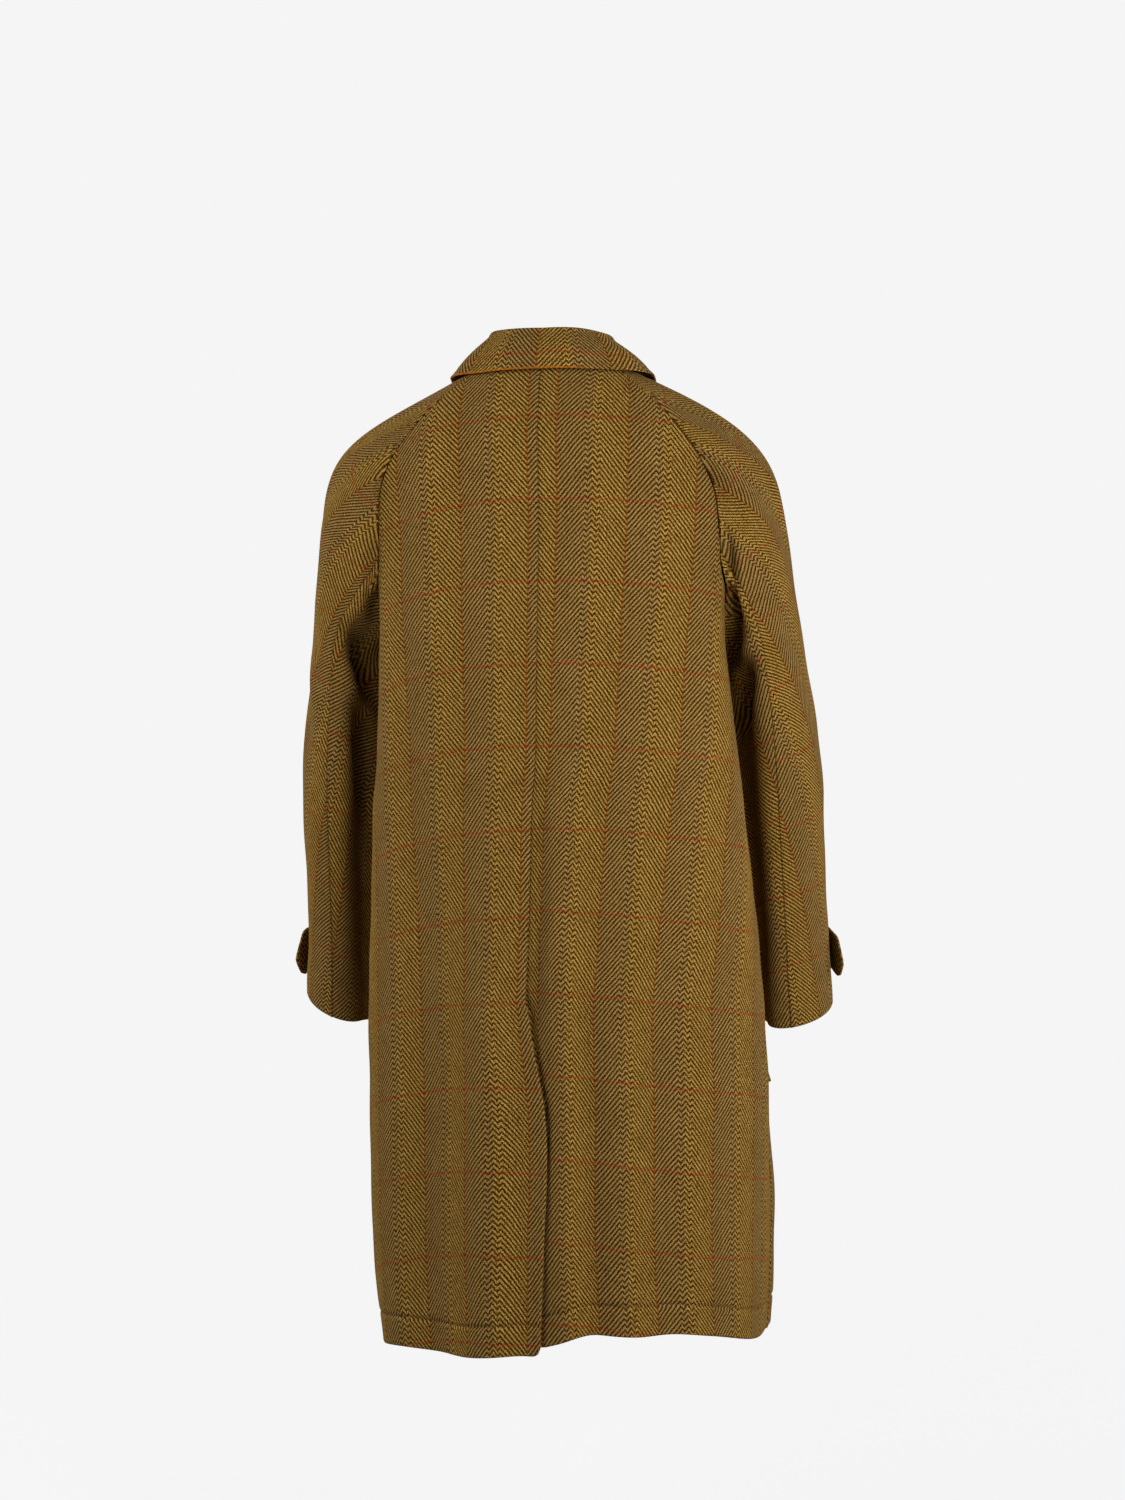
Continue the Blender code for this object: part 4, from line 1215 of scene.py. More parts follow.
@dataclass
class FrontPanel:
    """One half of the front from the neckline to the hem, with its buttoning edge."""

    form: BodyForm
    side: Side
    folds: tuple[Fold, ...]
    creases: tuple[Crease, ...]
    layer: float = 0.0057
    rust_offset: float = 0.020
    weft_height: float = -0.2473
    facing: float = 0.060
    second_layer: float = 0.0012
    even_columns: int = 58
    ease_rounds: int = 600

    def edge_path(self, k: Array) -> tuple[Array, Array, Array]:
        """Neckline and front edge of the rows above the underarm.

        Args:
            k: Counts along the raglan seam.

        Returns:
            Heights, places and points of the rows' first ends.
        """
        form, sign, last = self.form, self.side.value, self.form.neck_rows
        seam_z, _ = form.seam(False, k)
        middle = form.middle_height(k, seam_z)
        whole = np.arange(0.0, last + 2.0)
        turns = mix(form.front_neck_first, form.front_neck_last, whole[:last] / (last - 1.0))
        necks = form.neck(sign, turns)
        next_z = float(form.middle_height(whole[-1:], form.seam(False, whole[-1:])[0])[0])
        edge_z = np.array((-form.neck_drop - form.neck_ledge, next_z))
        heights = np.concatenate((necks[:, 2], edge_z))
        places = form.front_place(necks[:, 2], np.abs(necks[:, 0]))
        firsts = np.concatenate((places, 6.0 - form.front_place(edge_z, form.front_lap)))
        low = k > last + 1.0
        z = np.where(low, middle, np.interp(k, whole, heights))
        place = np.where(low, 6.0 - form.front_place(z, form.front_lap), np.interp(k, whole, firsts))
        points = form.point(z, sign, place)
        turn = mix(form.front_neck_first, form.front_neck_last, np.clip(k / (last - 1.0), 0.0, 1.0))
        corner = form.point(edge_z[0], sign, firsts[last])
        drawn = mix(necks[-1], corner, np.clip(k - last + 1.0, 0.0, 1.0)[:, None])
        points = np.where((k < last)[:, None], drawn, points)
        return z, place, np.where((k < last - 1.0)[:, None], form.neck(sign, turn), points)

    def cloth(self) -> Cloth:
        """Lay out the fine grid of the panel.

        Returns:
            The panel's cloth.
        """
        form, sign, share = self.form, self.side.value, PATH_SHARES
        k, low = form.upper_rows(), form.lower_rows()
        seam_z, seam_place = form.seam(False, k)
        begin_z, first, begin = self.edge_path(k)
        power = 1.0 + 2.0 * np.clip(k - form.neck_rows, 0.0, 1.0)[:, None]
        heights = mix(begin_z[:, None], seam_z[:, None], share**power)
        upper = form.point(heights, sign, mix(first[:, None], seam_place[:, None], share))
        upper += (begin - upper[:, 0])[:, None] * (1.0 - share[..., None])
        upper += (form.seam_point(sign, False, k) - upper[:, -1])[:, None] * share[..., None]
        neck = form.neck(sign, mix(form.front_neck_first, form.front_neck_turn, share[0]))
        row = int(np.searchsorted(k, 1.0)) - 1
        row_one = mix(upper[row], upper[row + 1], (1.0 - k[row]) / (k[row + 1] - k[row]))
        near = np.clip(1.0 - k, 0.0, 1.0)[:, None, None]
        upper = np.where(near > 0.0, neck * near + row_one * (1.0 - near), upper)
        edge = 6.0 - form.front_place(low, form.front_lap)
        heights = mix(low[:, None], form.end_height(low)[:, None], share**3)
        lower = form.point(heights, sign, mix(edge[:, None], 2.0, share))
        paths = np.concatenate((upper, lower))
        z, counts = np.concatenate((form.middle_height(k, seam_z), low)), form.counts(k, low)
        total = path_lengths(paths)
        side_seam = ease(counts - form.seam_count + 0.5)[:, None]
        along = spread(FREE_EDGE, mix(TUCKED_EDGE, ROLLED_EDGE, side_seam), total, self.even_columns)
        arc, inside = along - form.front_lap, total[:, None] - along
        grid = self.draped(resample(paths, along), z, along, total, counts)
        flat = eased(grid, self.flat(grid, along), self.ease_rounds)
        cloth = Cloth("front_" + self.side.word, grid, flat, sign < 0, self.thickness(z, along))
        lift = mix(Seam.UNDER.lift(inside), Seam.OVER.lift(inside), side_seam) + form.hem_line(z)
        soft = ease((along - 0.01) / 0.03) * ease(inside / 0.02)
        lift = lift + ripple(along, grid[..., 2], 0.55 if sign > 0 else 0.15) * soft
        cloth.lift(lift + sum(crease.lift(arc, grid[..., 2]) for crease in self.creases))
        return cloth

    def draped(self, grid: Array, z: Array, along: Array, total: Array, counts: Array) -> Array:
        """Give the plain form its skirt folds and put the right edge under the left one.

        Args:
            grid: Points of the plain form.
            z: Heights of the rows.
            along: Distances from the front edge.
            total: Lengths of the rows.
            counts: Counts along the raglan seam.

        Returns:
            The moved points.
        """
        form, lap = self.form, self.form.front_lap
        away = form.outward(grid, z[:, None])
        grid = grid + away * form.swell(self.folds, along - lap, total - lap, z)
        if self.side is Side.RIGHT:
            under = 1.0 - ease((-form.local_x(grid, z) - lap - 0.006) / 0.060)
            under = under * ease((1.0 - along / total[:, None]) / 0.4)
            under = under * ease((counts - 1.0) / (form.neck_rows - 1.5))[:, None]
            grid = grid - away * (self.layer * under)[..., None]
        return grid

    def flat(self, grid: Array, along: Array) -> Array:
        """Flat coordinates of the cut, its grain along the front edge.

        Args:
            grid: Points of the face.
            along: Distances from the front edge.

        Returns:
            Distances from a rust line and from a red line.
        """
        form = self.form
        v = form.down(grid[..., 2]) - form.down(self.weft_height)
        first = self.side.value * form.local_x(grid[:, :1], grid[:, 0, 2]) + form.front_lap
        u = along + np.maximum(first, 0.0) - self.rust_offset
        return np.stack((u * self.side.value, v), axis=-1)

    def thickness(self, z: Array, along: Array) -> Array:
        """Thickness of the cloth, doubled at the hem and along the front edge."""
        doubled = np.maximum(self.form.turned_up(z - self.form.hem), ease((self.facing - along) / 0.015))
        return self.form.cloth + self.second_layer * doubled


@dataclass
class Sleeve:
    """Upper or under half of a sleeve, from its raglan head to the cuff."""

    form: BodyForm
    side: Side
    half: Half
    creases: tuple[Crease, ...]
    fullness: float
    cuff_slope: float
    rust_inside: float
    weft_height: float
    weft_ease: float = 1.13
    seam_fullness: float = 1.2
    recess: float = 0.020
    armhole_sink: float = 0.015
    left_armhole_sink: float = 0.005
    neck_turn: float = 15.0
    seam_turn: float = 80.0
    cuff_back_slope: float = -0.31
    steepness: tuple[float, float, float] = (23.0, 58.0, 84.0)
    sway: float = 0.20
    radius: float = 0.062
    second_layer: float = 0.0014
    head_rows: int = 68
    arm_rows: int = 84
    steps: int = 84
    stitch_rows: tuple[float, ...] = (0.006, 0.0035, 0.0015, 0.0, -0.0015, -0.0035, -0.006)
    rings: Table = SLEEVE_RINGS
    grain: Table = SLEEVE_GRAIN

    @property
    def top(self) -> float:
        """Height of the arm's highest ring."""
        return float(self.rings.keys[-1])

    @property
    def foot(self) -> float:
        """Height of the cuff, its slope aside."""
        return float(self.rings.keys[0])

    def ring(self, z: Array | float, turn: Array) -> Array:
        """Points of the arm.

        Args:
            z: Heights.
            turn: Turns: 0 outer side, 90 back, 180 inner side.

        Returns:
            Points.
        """
        size, angle = self.rings.row(z), np.radians(turn)
        across = (size["outer"] - size["inner"]) / 2.0 * np.cos(angle)
        deep = size["half_depth"] * np.sin(angle)
        rise = size["tilt"] * (self.cuff_back_slope * deep + self.cuff_slope * across)
        x = self.side.value * ((size["outer"] + size["inner"]) / 2.0 + across) + size["lean"]
        return np.stack(np.broadcast_arrays(x, size["y"] + deep, z + rise), axis=-1)

    def armhole(self, turn: Array) -> Array:
        """Points of the armhole seam and the neckline.

        Args:
            turn: Turns of the columns.

        Returns:
            Points, one for each column.
        """
        form, sign = self.form, self.side.value
        turn = (turn + 180.0) % 360.0 - 180.0
        size = np.abs(turn)
        upper = form.seam_upper * (size - self.neck_turn) / (self.seam_turn - self.neck_turn)
        lower = form.seam_upper + form.seam_lower * (size - self.seam_turn) / (180.0 - self.seam_turn)
        k = np.maximum(np.where(size <= self.seam_turn, upper, lower), 0.0)
        back, front = (form.seam_point(sign, behind, k) for behind in (True, False))
        share = np.clip((turn / self.neck_turn + 1.0) / 2.0, 0.0, 1.0)
        neck = form.neck(sign, mix(form.front_neck_turn, form.back_neck_turn, share))
        seam = np.where((turn > 0.0)[:, None], back, front)
        return np.where((size < self.neck_turn)[:, None], neck, seam)

    def head(self, t: Array, turn: Array) -> Array:
        """Points of the sleeve head.

        Args:
            t: Shares of the way to the arm.
            turn: Turns of the columns.

        Returns:
            Points, one row for each share.
        """
        point, ring = self.armhole(turn), self.ring(self.top, turn)
        along = unit(self.ring(self.top - 0.02, turn) - ring)
        size = np.minimum(np.abs(turn), 360.0 - np.abs(turn))
        fullness = mix(self.fullness, self.seam_fullness, ease(size / self.seam_turn))
        chord = np.linalg.norm(ring - point, axis=1) * fullness
        over, side, under = self.steepness
        lower = mix(side, under, (size - self.seam_turn) / (180.0 - self.seam_turn))
        steep = np.where(size < self.seam_turn, mix(over, side, size / self.seam_turn), lower)
        steep = np.radians(steep)
        sway = self.sway * np.sin(np.radians(size)) * np.sign(np.sin(np.radians(turn)))
        leave = np.stack((self.side.value * np.cos(steep), sway * np.cos(steep), -np.sin(steep)), axis=-1)
        t = t[:, None, None]
        start = point * ((1.0 + 2.0 * t) * (1.0 - t) ** 2)
        end = ring * (t * t * (3.0 - 2.0 * t))
        pull = unit(leave) * chord[:, None] * (t * (1.0 - t) ** 2)
        return start + end + pull - along * chord[:, None] * (t * t * (1.0 - t))

    def columns(self) -> Array:
        """Turns of the columns, close together at both seams and a little past them."""
        first, last = self.half.value
        near = np.array((-1.2, 1.0, 3.4, 5.8) if self.half is Half.UPPER else (-4.8, -2.4, 0.0, 2.4, 4.8))
        even = np.linspace(first + 8.0, last - 8.0, self.steps)
        return np.concatenate((first + near, even, last - near[::-1]))

    def rows(self) -> tuple[Array, Array]:
        """Shares down the head and heights down the arm of the rows."""
        shares = np.concatenate(((-0.006, 0.008, 0.022), np.linspace(0.036, 1.0, self.head_rows)[:-1]))
        even = np.linspace(self.top, self.foot + self.form.fine_foot, self.arm_rows)
        stitch = self.foot + self.form.hem_stitch + np.array(self.stitch_rows)
        return shares, np.concatenate((even, stitch, self.foot + EDGE_ROWS))

    def cloth(self) -> Cloth:
        """Lay out the fine grid of the piece.

        Returns:
            The piece's cloth.
        """
        turn, (shares, heights) = self.columns(), self.rows()
        grid = np.concatenate((self.head(shares, turn), self.ring(heights[:, None], turn[None])))
        depth = np.concatenate((np.ones(len(shares)), heights - self.foot))
        thick = self.form.cloth + self.second_layer * self.form.turned_up(depth) * np.ones((1, len(turn)))
        name, turned = f"sleeve_{self.side.word}_{self.half.word}", self.side is Side.RIGHT
        cloth = Cloth(name, grid, np.zeros((*grid.shape[:2], 2)), turned, thick)
        cloth.flat = self.flat(cloth)
        cloth.cut = cloth.flat_size()
        cloth.flat = self.turned_grain(cloth)
        first, last = self.half.value
        z, down, arc = grid[..., 2], walked(grid), np.radians(turn)[None] * self.radius
        to_seam = np.radians(np.minimum(turn - first, last - turn)) * self.radius
        seam = Seam.OVER.lift(to_seam) if self.half is Half.UPPER else Seam.UNDER.lift(to_seam)
        lift = mix(0.42, 0.6, ease((-0.34 - z) / 0.10)) * seam + Seam.OVER.lift(down - 0.0012)
        if self.half is Half.UNDER:
            lift = lift - self.recess * bell(turn - 140.0, 30.0) * ease(down / 0.06)
        reach = ease((turn - 64.0) / 16.0) * ease((150.0 - turn) / 25.0)
        sink = self.left_armhole_sink if self.side is Side.LEFT else self.armhole_sink
        lift = lift - sink * reach * bell(down - 0.020, 0.014)
        soft = ease(down / 0.03) * ease(depth / 0.02)[:, None] * ease(to_seam / 0.02)
        lift = lift + ripple(arc, z, 0.42 + 0.2 * self.side.value) * soft
        shown = ease(down / 0.022) * ease((178.0 - turn) / 32.0)
        cloth.lift(lift + sum(crease.lift(arc, z) for crease in self.creases) * shown)
        return cloth

    def flat(self, cloth: Cloth) -> Array:
        """Develop the piece into its flat cut, walking both ways from the top of the arm.

        Args:
            cloth: Cloth of the piece.

        Returns:
            Flat coordinates across the piece and up the sleeve.
        """
        turn, start = self.columns(), len(self.rows()[0])
        grid, normals = cloth.grid, cloth.normals()
        middle = int(np.argmin(np.abs(turn - sum(self.half.value) / 2.0)))
        spine = grid[:, middle]
        course, lengths = unit(np.gradient(spine, axis=0)), walked(spine)
        heights = lengths[start] - lengths
        flat = np.zeros((*grid.shape[:2], 2))
        arcs = walked(grid[start])
        flat[start, :, 0] = arcs - arcs[middle]
        for sign in (1, -1):
            rows = range(start, len(grid) - 1) if sign > 0 else range(start, 0, -1)
            for i in rows:
                v = flat[i, :, 1]
                axis = between(-v, -heights, course)
                axis = unit(axis - normals[i] * (axis * normals[i]).sum(axis=-1, keepdims=True))
                across = np.cross(axis, normals[i]) * (1.0 if cloth.turned else -1.0)
                step = grid[i + sign] - grid[i]
                flat[i + sign, :, 0] = flat[i, :, 0] + (step * across).sum(axis=-1)
                flat[i + sign, :, 1] = v - (step * axis).sum(axis=-1)
        flat[..., 0] *= self.side.value
        return eased(grid, flat)

    def turned_grain(self, cloth: Cloth) -> Array:
        """Turn the grain of a flat cut as the sleeve's cloth drapes, and place its lines.

        Args:
            cloth: Cloth of the piece, its grain along the arm.

        Returns:
            Flat coordinates, the weft rising toward the outer side.
        """
        sign, turn, start = self.side.value, self.columns(), len(self.rows()[0])
        heights = np.linspace(-0.6, 0.6, 1201)
        tilt = np.radians(self.grain.read("tilt", heights))
        drift, rise = (np.cumsum(wave) * 0.001 for wave in (np.sin(tilt), np.cos(tilt)))
        u, v = cloth.flat[..., 0], cloth.flat[..., 1]
        lean = np.interp(v, heights, tilt)
        across = u * np.cos(lean) - sign * np.interp(v, heights, drift)
        along = sign * u * np.sin(lean) + np.interp(v, heights, rise)
        flat = np.stack((across, along * self.weft_ease), axis=-1)
        seam = int(np.argmin(np.abs(turn - self.seam_turn)))
        row = start + int(np.argmin(np.abs(cloth.grid[start:, seam, 2] - self.weft_height)))
        outward = sign if self.half is Half.UPPER else -sign
        return flat - flat[row, seam] + np.array((outward * self.rust_inside, 0.0))


@dataclass
class Collar:
    """Turned-down collar, its stand and fall in one folded piece."""

    form: BodyForm
    fold: float = 0.0042
    set_in: float = 0.0004
    seat: float = 0.0004
    front_seat: float = 0.0009
    sag: float = 0.005
    sag_turn: float = -62.0
    sag_width: float = 26.0
    edge_roll: float = 0.0006
    edge_width: float = 0.006
    stitch: float = 0.0075
    groove: float = 0.0005
    groove_width: float = 0.0014
    bulge: float = 0.004
    rows: int = 176
    stand_steps: int = 9
    fold_steps: int = 8
    fall_steps: int = 15
    rust_offset: float = 0.003
    weft_offset: float = 0.019
    sections: Table = COLLAR_SECTIONS

    def cloth(self) -> Cloth:
        """Lay out the fine grid of the collar.

        Returns:
            The collar's cloth.
        """
        form, last = self.form, float(self.sections.keys[-1])
        signed = np.linspace(-last, last, self.rows + 1)
        turn, side = np.abs(signed), np.where(signed >= 0.0, 1.0, -1.0)
        ahead = form.neck(side, turn + 0.5) - form.neck(side, np.abs(turn - 0.5))
        ahead[turn < 0.5] = (1.0, 0.0, 0.0)
        ahead[(turn < 0.5) & (side < 0.0)] = (-1.0, 0.0, 0.0)
        away = unit(np.stack((side * -ahead[:, 1], side * ahead[:, 0], np.zeros_like(turn)), axis=-1))
        across, up = self.profile(turn, self.sag * bell(signed - self.sag_turn, self.sag_width))
        grid = form.neck(side, turn)[:, None] + away[:, None] * across[..., None]
        grid[..., 2] += up
        rise = walked(grid[:, ::-1], 1)[:, ::-1]
        arcs = walked(grid[:, -self.fall_steps // 2])
        arcs = (arcs - arcs[len(arcs) // 2])[:, None] * np.ones_like(rise)
        flat = np.stack((arcs - self.rust_offset, rise - self.weft_offset), axis=-1)
        edge = np.stack((-arcs, rise), axis=-1)
        cloth = Cloth("collar", grid, flat, False, np.full(rise.shape, form.cloth), edge)
        roll = self.edge_roll * ease((self.edge_width - rise) / self.edge_width)
        cloth.lift(roll - self.groove * bell(rise - self.stitch, self.groove_width))
        return cloth

    def profile(self, turn: Array, sag: Array) -> tuple[Array, Array]:
        """Section of the collar from the neck seam up the stand, over the fold and down the fall.

        Args:
            turn: Turns from the centre back.
            sag: How much lower the fold lies there.

        Returns:
            Distances out and up from the neckline, a row for each turn.
        """
        size = {name: values[:, None] for name, values in self.sections.row(turn).items()}
        size["stand"] = size["stand"] - sag[:, None]
        cloth = self.form.cloth
        inner = -cloth - size["lean"]
        seat = mix(self.seat, self.front_seat, ease((turn - 90.0) / 25.0))[:, None]
        share = np.linspace(0.0, 1.0, self.stand_steps + 1)[None, :-1]
        top = size["stand"] - self.fold
        knee_x, knee_z = mix(-cloth, inner, 0.6), size["stand"] * 0.45
        ctrl_x = 2.0 * knee_x - (self.set_in + inner) / 2.0
        ctrl_z = 2.0 * knee_z - (seat + top) / 2.0
        near, mid, far = (1.0 - share) ** 2, 2.0 * share * (1.0 - share), share**2
        stand_x = self.set_in * near + ctrl_x * mid + inner * far
        stand_z = seat * near + ctrl_z * mid + top * far
        bend = np.linspace(0.0, math.pi, self.fold_steps + 1)[None, :-1]
        fold_x = inner + self.fold * (1.0 - np.cos(bend))
        fold_z = top + self.fold * np.sin(bend)
        share = np.concatenate((np.linspace(0.0, 0.93, self.fall_steps - 1), (0.965, 1.0)))[None]
        bulge = self.bulge * np.sin(math.pi * share)
        fall_x = mix(inner + 2.0 * self.fold, size["reach"], share**1.15) + bulge
        fall_z = mix(top, size["drop"], share) + bulge * 0.5
        across = np.concatenate((stand_x, fold_x, fall_x), axis=1)
        return across, np.concatenate((stand_z, fold_z, fall_z), axis=1)


@dataclass
class CuffTab:
    """Pointed tab near the cuff, wrapped round the front of the sleeve and free at its outer side."""

    sleeve: Sleeve
    top: float
    leaves: float
    tail: float
    droop: float
    flare: float
    width: float = 0.048
    start: float = -100.0
    tip: float = 0.016
    corner: float = 0.006
    peak: float = 0.40
    gap: float = 0.0003
    stand: float = 0.0008
    wrap_steps: int = 34
    tail_steps: int = 13
    height_steps: int = 20

    def cloth(self) -> Cloth:
        """Lay out the fine grid of the tab.

        Returns:
            The tab's cloth.
        """
        sleeve, sign = self.sleeve, self.sleeve.side.value
        up = np.linspace(0.0, 1.0, self.height_steps + 1)
        z = (sleeve.foot + self.top - self.width + self.width * up)[:, None]
        turn = np.linspace(self.start, self.leaves, self.wrap_steps + 1)[None]
        course = sleeve.ring(z, turn + 1.0) - sleeve.ring(z, turn - 1.0)
        away = unit(np.stack((sign * course[..., 1], -sign * course[..., 0], 0.0 * course[..., 2]), axis=-1))
        wrap = sleeve.ring(z, turn) + away * (self.gap + sleeve.form.cloth + self.stand)
        leave = unit(wrap[:, -1] - wrap[:, -2])
        off_peak = (up - self.peak) / np.where(up > self.peak, 1.0 - self.peak, self.peak)
        point = self.tail + self.tip * (1.0 - np.sqrt(off_peak**2 + 0.02))
        short = np.maximum(self.corner - self.width * np.minimum(up, 1.0 - up), 0.0)
        point = point - self.corner + np.sqrt(self.corner**2 - short**2)
        share = np.linspace(0.0, 1.0, self.tail_steps + 1)[1:]
        free = wrap[:, -1:] + leave[:, None] * (point[:, None] * share[None])[..., None]
        free[..., 2] += (self.flare * (2.0 * up[:, None] - 1.0) - self.droop) * ease(share)[None]
        grid = np.concatenate((wrap, free), axis=1)
        along = walked(grid, 1)
        flat = np.stack((along, self.width * up[:, None] * np.ones_like(along)), axis=-1)
        return Cloth("tab_" + sleeve.side.word, grid, flat, sign > 0, np.full(along.shape, sleeve.form.cloth))


@dataclass
class PocketFlap:
    """Slanted pocket flap on the front, standing off a little at its foot."""

    form: BodyForm
    side: Side
    folds: tuple[Fold, ...]
    top: float = -0.728
    height: float = 0.062
    first: float = 2.10
    last: float = 2.62
    slant: float = 0.018
    gap: float = 0.0003
    seat: float = 0.0012
    stand: float = 0.004
    steps: int = 40
    height_steps: int = 18

    def cloth(self) -> Cloth:
        """Lay out the fine grid of the flap.

        Returns:
            The flap's cloth.
        """
        form, sign = self.form, self.side.value
        drop = np.linspace(0.0, 1.0, self.height_steps + 1)[:, None]
        share = np.linspace(0.0, 1.0, self.steps + 1)[None]
        z = self.top - self.slant * share - self.height * drop
        place = mix(self.first, self.last, share) + 0.0 * z
        edge = 6.0 - form.front_place(z, form.front_lap)
        ways = mix(edge[..., None], place[..., None], np.linspace(0.0, 1.0, 41))
        arc = path_lengths(form.point(z[..., None], sign, ways)) - form.front_lap
        swell = np.maximum(sum(fold.lift(arc, z) for fold in self.folds), 0.0)
        base = form.point(z, sign, place)
        rise = self.gap + form.cloth + self.seat + self.stand * drop
        grid = base + form.outward(base, z) * (swell + rise)[..., None]
        along = walked(grid, 1)
        flat = np.stack((along, -self.height * drop + 0.0 * along), axis=-1)
        return Cloth("pocket_flap_" + self.side.word, grid, flat, sign > 0, np.full(along.shape, form.cloth))


# Radii and heights of a button's section, as shares of its own, from its foot up and in over its rim.
BUTTON_SECTION = (
    (0.80, 0.0), (0.86, 0.0), (0.95, 0.12), (1.0, 0.35), (0.99, 0.62), (0.955, 0.88), (0.92, 1.0),
    (0.87, 0.99), (0.82, 0.90), (0.76, 0.76), (0.66, 0.69), (0.40, 0.67),
)


@dataclass
class HornButton:
    """Turned horn button with a raised rim and four holes for its thread."""

    node: str
    place: Array
    normal: Array
    radius: float
    height: float = 0.0042
    sides: int = 48
    hole: float = 0.0011
    hole_sides: int = 16
    spot: float = 0.0026 / 1.414
    sharp: float = 38.0
    thread_gap: float = 0.0003

    def frame(self) -> Matrix:
        """Matrix that puts the button on the cloth."""
        turn = Vector(self.normal).normalized().to_track_quat("Z", "Y")
        return Matrix.Translation(Vector(self.place)) @ turn.to_matrix().to_4x4()

    def lathe(self, section: list[tuple[float, float]], sides: int) -> bpy.types.Mesh:
        """Turn a section into a closed mesh about Z.

        Args:
            section: Radii and heights from the foot up.
            sides: Number of sides.

        Returns:
            The mesh.
        """
        points = [(r * x, r * y, h) for r, h in section for x, y in circle(sides)]
        mesh = bpy.data.meshes.new("turned")
        mesh.from_pydata(points, [], tube_faces(len(section), sides))
        return mesh

    def build(self, name: str, horn: Material) -> Piece:
        """Build the button with its holes.

        Args:
            name: Name of the piece.
            horn: Material of the button.

        Returns:
            The piece.
        """
        section = [(r * self.radius, h * self.height) for r, h in BUTTON_SECTION]
        body = placed("button_blank", self.lathe(section, self.sides))
        shaft = [(self.hole, -self.height), (self.hole, 2.0 * self.height)]
        drills = []
        for x, y in ((1, 1), (1, -1), (-1, 1), (-1, -1)):
            drill = placed("drill", self.lathe(shaft, self.hole_sides))
            drill.location = (x * self.spot, y * self.spot, 0.0)
            drills.append(drill)
            cut = body.modifiers.new("hole", "BOOLEAN")
            cut.operation, cut.solver, cut.object = "DIFFERENCE", "EXACT", drill
        bpy.context.view_layer.update()
        ready = body.evaluated_get(bpy.context.evaluated_depsgraph_get())
        mesh = bpy.data.meshes.new_from_object(ready)
        for item in (body, *drills):
            bpy.data.objects.remove(item, do_unlink=True)
        mesh.materials.clear()
        mesh.materials.append(horn)
        mesh.name = name
        mesh.transform(self.frame())
        mesh.polygons.foreach_set("use_smooth", [True] * len(mesh.polygons))
        mesh.set_sharp_from_angle(angle=math.radians(self.sharp))
        return placed(name, mesh)

    def thread_lines(self) -> list[Strand]:
        """Two ends and the normal of each strand across the holes."""
        frame, spot, high = self.frame(), self.spot, self.height * 0.70
        up = np.array(frame.to_3x3() @ Vector((0.0, 0.0, 1.0)))
        rows = [y + shift for y in (spot, -spot) for shift in (self.thread_gap, -self.thread_gap)]
        return [(*(np.array(frame @ Vector((x, y, high))) for x in (-spot, spot)), up) for y in rows]


# Shares along a stitch, with its thickness and rise there as shares of its radius.
STITCH_SHAPE = ((0.0, 0.35, -0.9), (0.16, 0.85, 0.1), (0.5, 1.0, 0.5), (0.84, 0.85, 0.1), (1.0, 0.35, -0.9))


@dataclass
class Stitching:
    """Rows of stitches drawn into the cloth."""

    length: float = 0.0032
    gap: float = 0.0016
    radius: float = 0.00034
    sunk: float = 0.0002
    sides: int = 6
    strands: list[Strand] = field(default_factory=list)

    def follow(self, points: Array, normals: Array) -> None:
        """Add stitches along a line on the cloth.

        Args:
            points: Points of the line.
            normals: Normals of the cloth there.
        """
        lengths = walked(points)
        starts = np.arange(self.gap, lengths[-1] - self.length, self.length + self.gap)
        ups = unit(between(starts + self.length / 2.0, lengths, normals))
        first = between(starts, lengths, points) - ups * self.sunk
        last = between(starts + self.length, lengths, points) - ups * self.sunk
        self.strands += list(zip(first, last, ups))

    def build(self, name: str, thread: Material) -> Piece:
        """Build all the stitches as one piece.

        Args:
            name: Name of the piece.
            thread: Material of the thread.

        Returns:
            The piece.
        """
        shell = [face[::-1] for face in tube_faces(len(STITCH_SHAPE), self.sides)]
        points, faces = [], []
        for first, last, up in self.strands:
            across = unit(np.cross(up, unit(last - first)))
            faces += [tuple(len(points) + corner for corner in face) for face in shell]
            for share, size, rise in STITCH_SHAPE:
                centre = mix(first, last, share) + up * rise * self.radius
                for x, y in circle(self.sides):
                    points.append(tuple(centre + (across * x + up * y) * self.radius * size))
        mesh = bpy.data.meshes.new(name)
        mesh.from_pydata(points, [], faces)
        mesh.materials.append(thread)
        mesh.shade_smooth()
        return placed(name, mesh)


@dataclass(frozen=True)
class Lamp:
    """Soft square lamp, its turn from the camera to the right and its height from the coat's middle."""

    name: str
    turn: float
    height: float
    away: float
    size: float
    power: float

    def build(self, view_turn: float, target: Vector) -> None:
        """Hang the lamp so that it faces the coat.

        Args:
            view_turn: Turn of the camera.
            target: Middle of the coat.
        """
        angle = math.radians(90.0 + view_turn + self.turn)
        place = target + Vector((math.cos(angle), math.sin(angle), 0.0)) * self.away
        place.z += self.height
        data = bpy.data.lights.new(self.name, "AREA")
        data.shape, data.size, data.energy = "SQUARE", self.size, self.power
        lamp = placed(self.name, data)
        lamp.location = place
        lamp.rotation_euler = (target - place).to_track_quat("-Z", "Y").to_euler()


LAMPS = (
    Lamp("key", 37.0, 0.25, 1.7, 1.2, 26.0),
    Lamp("fill", -44.0, 0.75, 1.5, 1.1, 13.5),
    Lamp("left_rim", -112.0, 0.6, 2.7, 1.2, 46.0),
    Lamp("right_rim", 112.0, 0.6, 2.7, 1.2, 28.0),
    Lamp("front", 176.0, 1.4, 2.7, 2.0, 50.0),
)


